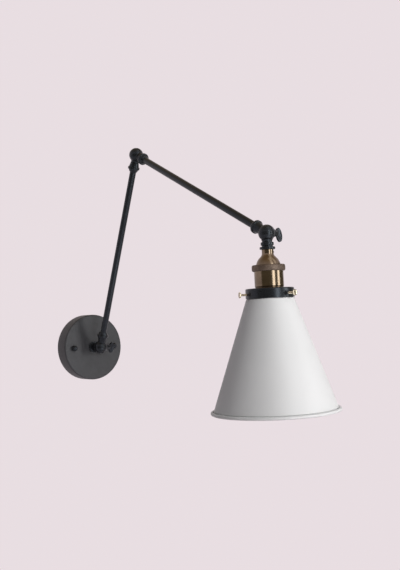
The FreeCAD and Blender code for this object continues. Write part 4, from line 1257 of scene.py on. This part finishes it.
class MakeStage(bpy.types.Operator):
    """Floor, background, soft lights and camera."""

    bl_idname = "wall_lamp.make_stage"
    bl_label = "Stage"

    def execute(self, context):
        stage = settings("lamp_stage")
        context.scene.view_settings.view_transform = "Standard"
        self.world(stage)
        self.floor(stage)
        self.dark_panel(stage)
        for side, turn, width, height in (
                ("near", stage.near_way, stage.near_width, stage.near_height),
                ("side", stage.side_way, stage.side_width, stage.side_height)):
            level = room_way(turn, 0) * stage.window_distance
            above = room_way(turn, stage.upper_rise) * stage.window_distance
            self.window(side + "_window", level, width, height, stage.window_light)
            self.window(side + "_upper_light", above, width, stage.upper_height, stage.upper_light)
        below = room_way(stage.lower_way, -stage.lower_drop) * stage.lower_distance
        patch = self.window("lower_light", below, stage.lower_width, stage.lower_height, stage.lower_light)
        patch.visible_diffuse = False
        self.camera(stage)
        return {"FINISHED"}

    def seen_rays(self, tree):
        """One where a ray shows the background: to the camera, in a reflection or through glass."""
        path = tree.nodes.new("ShaderNodeLightPath")
        seen = sums(tree, "MAXIMUM", path.outputs["Is Camera Ray"], path.outputs["Is Glossy Ray"])
        return sums(tree, "MAXIMUM", seen, path.outputs["Is Transmission Ray"])

    def world(self, stage):
        """Pale background with a dim ceiling in reflections, and a softer light from all round."""
        world = bpy.data.worlds.new("pale_room")
        world.use_nodes = True
        tree = world.node_tree
        seen = tree.nodes["Background"]
        split = tree.nodes.new("ShaderNodeSeparateXYZ")
        tree.links.new(tree.nodes.new("ShaderNodeTexCoord").outputs["Generated"], split.inputs["Vector"])
        path = tree.nodes.new("ShaderNodeLightPath")
        height = sums(tree, "MULTIPLY", split.outputs["Z"], path.outputs["Is Glossy Ray"])
        wall_end, overhead = 0.4, 0.9
        stops = [(wall_end, stage.backdrop), (overhead, stage.ceiling)]
        tree.links.new(shades(tree, height, stops), seen.inputs["Color"])
        ambient = tree.nodes.new("ShaderNodeBackground")
        ambient.inputs["Color"].default_value = (*stage.ambient, 1)
        mix = tree.nodes.new("ShaderNodeMixShader")
        tree.links.new(self.seen_rays(tree), mix.inputs["Fac"])
        link(tree, (ambient, "Background", mix, 1), (seen, "Background", mix, 2),
             (mix, "Shader", tree.nodes["World Output"], "Surface"))
        bpy.context.scene.world = world

    def floor(self, stage):
        """Round pale floor that keeps the lamp's shadow and fades into the background far off."""
        floor_r = 9.0
        shadow_r, fade_r = 0.9, 1.9
        least_glow, full_glow = 0.5, 1.0
        disc = bmesh.new()
        bmesh.ops.create_circle(disc, cap_ends=True, segments=96, radius=floor_r)
        bmesh.ops.translate(disc, vec=(0, 0, -stage.floor_drop), verts=disc.verts)
        floor = set_down("pale_floor", as_mesh(disc))
        material, tree, shader, place = shader_tree("pale_floor_paint")
        shader.inputs["Base Color"].default_value = (*stage.backdrop, 1)
        shader.inputs["Roughness"].default_value = 0.9
        glow = tree.nodes.new("ShaderNodeEmission")
        glow.inputs["Color"].default_value = (*stage.backdrop, 1)
        mix = tree.nodes.new("ShaderNodeMixShader")
        span = tree.nodes.new("ShaderNodeVectorMath")
        span.operation = "LENGTH"
        tree.links.new(place, span.inputs[0])
        far = tree.nodes.new("ShaderNodeMapRange")
        far.interpolation_type = "SMOOTHSTEP"
        for socket, number in zip(far.inputs[1:5], (shadow_r, fade_r, least_glow, full_glow)):
            socket.default_value = number
        tree.links.new(span.outputs["Value"], far.inputs["Value"])
        tree.links.new(sums(tree, "MULTIPLY", self.seen_rays(tree), far.outputs["Result"]), mix.inputs["Fac"])
        link(tree, (shader, "BSDF", mix, 1), (glow, "Emission", mix, 2),
             (mix, "Shader", tree.nodes["Material Output"], "Surface"))
        floor.data.materials.append(material)

    def dark_panel(self, stage):
        """Curved glowing panel on the camera's side that only metal and gloss reflect: a painted reflection of the
        room's dark side.
        """
        panel = bmesh.new()
        low = []
        high = []
        middle = Vector((head_pivot.x, head_pivot.y, 0))
        rise = Vector((0, 0, stage.panel_half))
        steps = 46
        for step in range(steps + 1):
            turn = stage.panel_start + stage.panel_sweep * step / steps
            spot = middle + room_way(turn, 0) * stage.panel_distance
            low.append(panel.verts.new(spot - rise))
            high.append(panel.verts.new(spot + rise))
        for step in range(steps):
            panel.faces.new((low[step], low[step + 1], high[step + 1], high[step]))
        screen = set_down("dark_panel", as_mesh(panel))
        material, tree = shader_tree("painted_dark_reflection")[:2]
        # Glow that paints a dark reflection into metal and gloss; it lights nothing else.
        glow = tree.nodes.new("ShaderNodeEmission")
        glow.inputs["Color"].default_value = (*stage.dark_side, 1)
        link(tree, (glow, "Emission", tree.nodes["Material Output"], "Surface"))
        screen.data.materials.append(material)
        screen.visible_camera = False
        screen.visible_diffuse = False
        screen.visible_transmission = False
        screen.visible_shadow = False

    def window(self, name, offset, width, height, radiance):
        """Soft light in the room, at a distance from the lamp's head and facing it."""
        light = bpy.data.lights.new(name, "AREA")
        light.shape = "RECTANGLE"
        light.size = width
        light.size_y = height
        light.energy = radiance * math.pi * width * height
        lamp = set_down(name, light)
        aim(lamp, head_pivot + offset, head_pivot)
        return lamp

    def camera(self, stage):
        """Camera at the photograph's viewing angle."""
        turn = stage.camera_turn
        tilt = stage.camera_tilt
        roll = stage.camera_roll
        ahead = Vector((math.sin(turn) * math.cos(tilt), math.cos(turn) * math.cos(tilt), math.sin(tilt)))
        right = Vector((math.cos(turn), -math.sin(turn), 0))
        up = right.cross(ahead)
        side = right * math.cos(roll) + up * math.sin(roll)
        top = up * math.cos(roll) - right * math.sin(roll)
        data = bpy.data.cameras.new("photo_camera")
        data.lens = stage.camera_focus * data.sensor_width
        camera = set_down("photo_camera", data)
        columns = Matrix((side, top, -ahead)).transposed().to_4x4()
        camera.matrix_world = Matrix.Translation(stage.camera_place) @ columns
        bpy.context.scene.camera = camera


class WallLampPanel(bpy.types.Panel):
    """Sidebar list of the lamp's pieces and sizes."""

    bl_idname = "VIEW3D_PT_wall_lamp"
    bl_label = "Wall lamp"
    bl_space_type = "VIEW_3D"
    bl_region_type = "UI"
    bl_category = "Wall lamp"

    def draw(self, context):
        for operator in operators:
            self.layout.operator(operator.bl_idname)
        for name, group in groups.items():
            box = self.layout.box()
            box.label(text=group.__doc__)
            for field in group.__annotations__:
                box.prop(getattr(context.scene, name), field)


groups = {
    "lamp_plate": LampPlateSizes, "lamp_joints": LampJointSizes, "lamp_head": LampHeadSizes,
    "lamp_colours": LampColours, "lamp_stage": LampStageSettings,
}
operators = [
    DressFittings, MakePlate, MakeArms, MakePivotScrews, MakeSocket, MakeHolder, MakeThumbScrews, MakeShade,
    MakeStage,
]


def register():
    for group in groups.values():
        bpy.utils.register_class(group)
    for operator in operators:
        bpy.utils.register_class(operator)
    bpy.utils.register_class(WallLampPanel)
    for name, group in groups.items():
        setattr(bpy.types.Scene, name, PointerProperty(type=group))


def unregister():
    for name in groups:
        delattr(bpy.types.Scene, name)
    bpy.utils.unregister_class(WallLampPanel)
    for operator in reversed(operators):
        bpy.utils.unregister_class(operator)
    for group in groups.values():
        bpy.utils.unregister_class(group)


def main():
    """Dress the lamp piece by piece and set the stage."""
    register()
    bpy.ops.wall_lamp.dress_fittings()
    bpy.ops.wall_lamp.make_plate()
    bpy.ops.wall_lamp.make_arms()
    bpy.ops.wall_lamp.make_pivot_screws()
    bpy.ops.wall_lamp.make_socket()
    bpy.ops.wall_lamp.make_holder()
    bpy.ops.wall_lamp.make_thumb_screws()
    bpy.ops.wall_lamp.make_shade()
    bpy.ops.wall_lamp.make_stage()


if __name__ == "__main__":
    main()
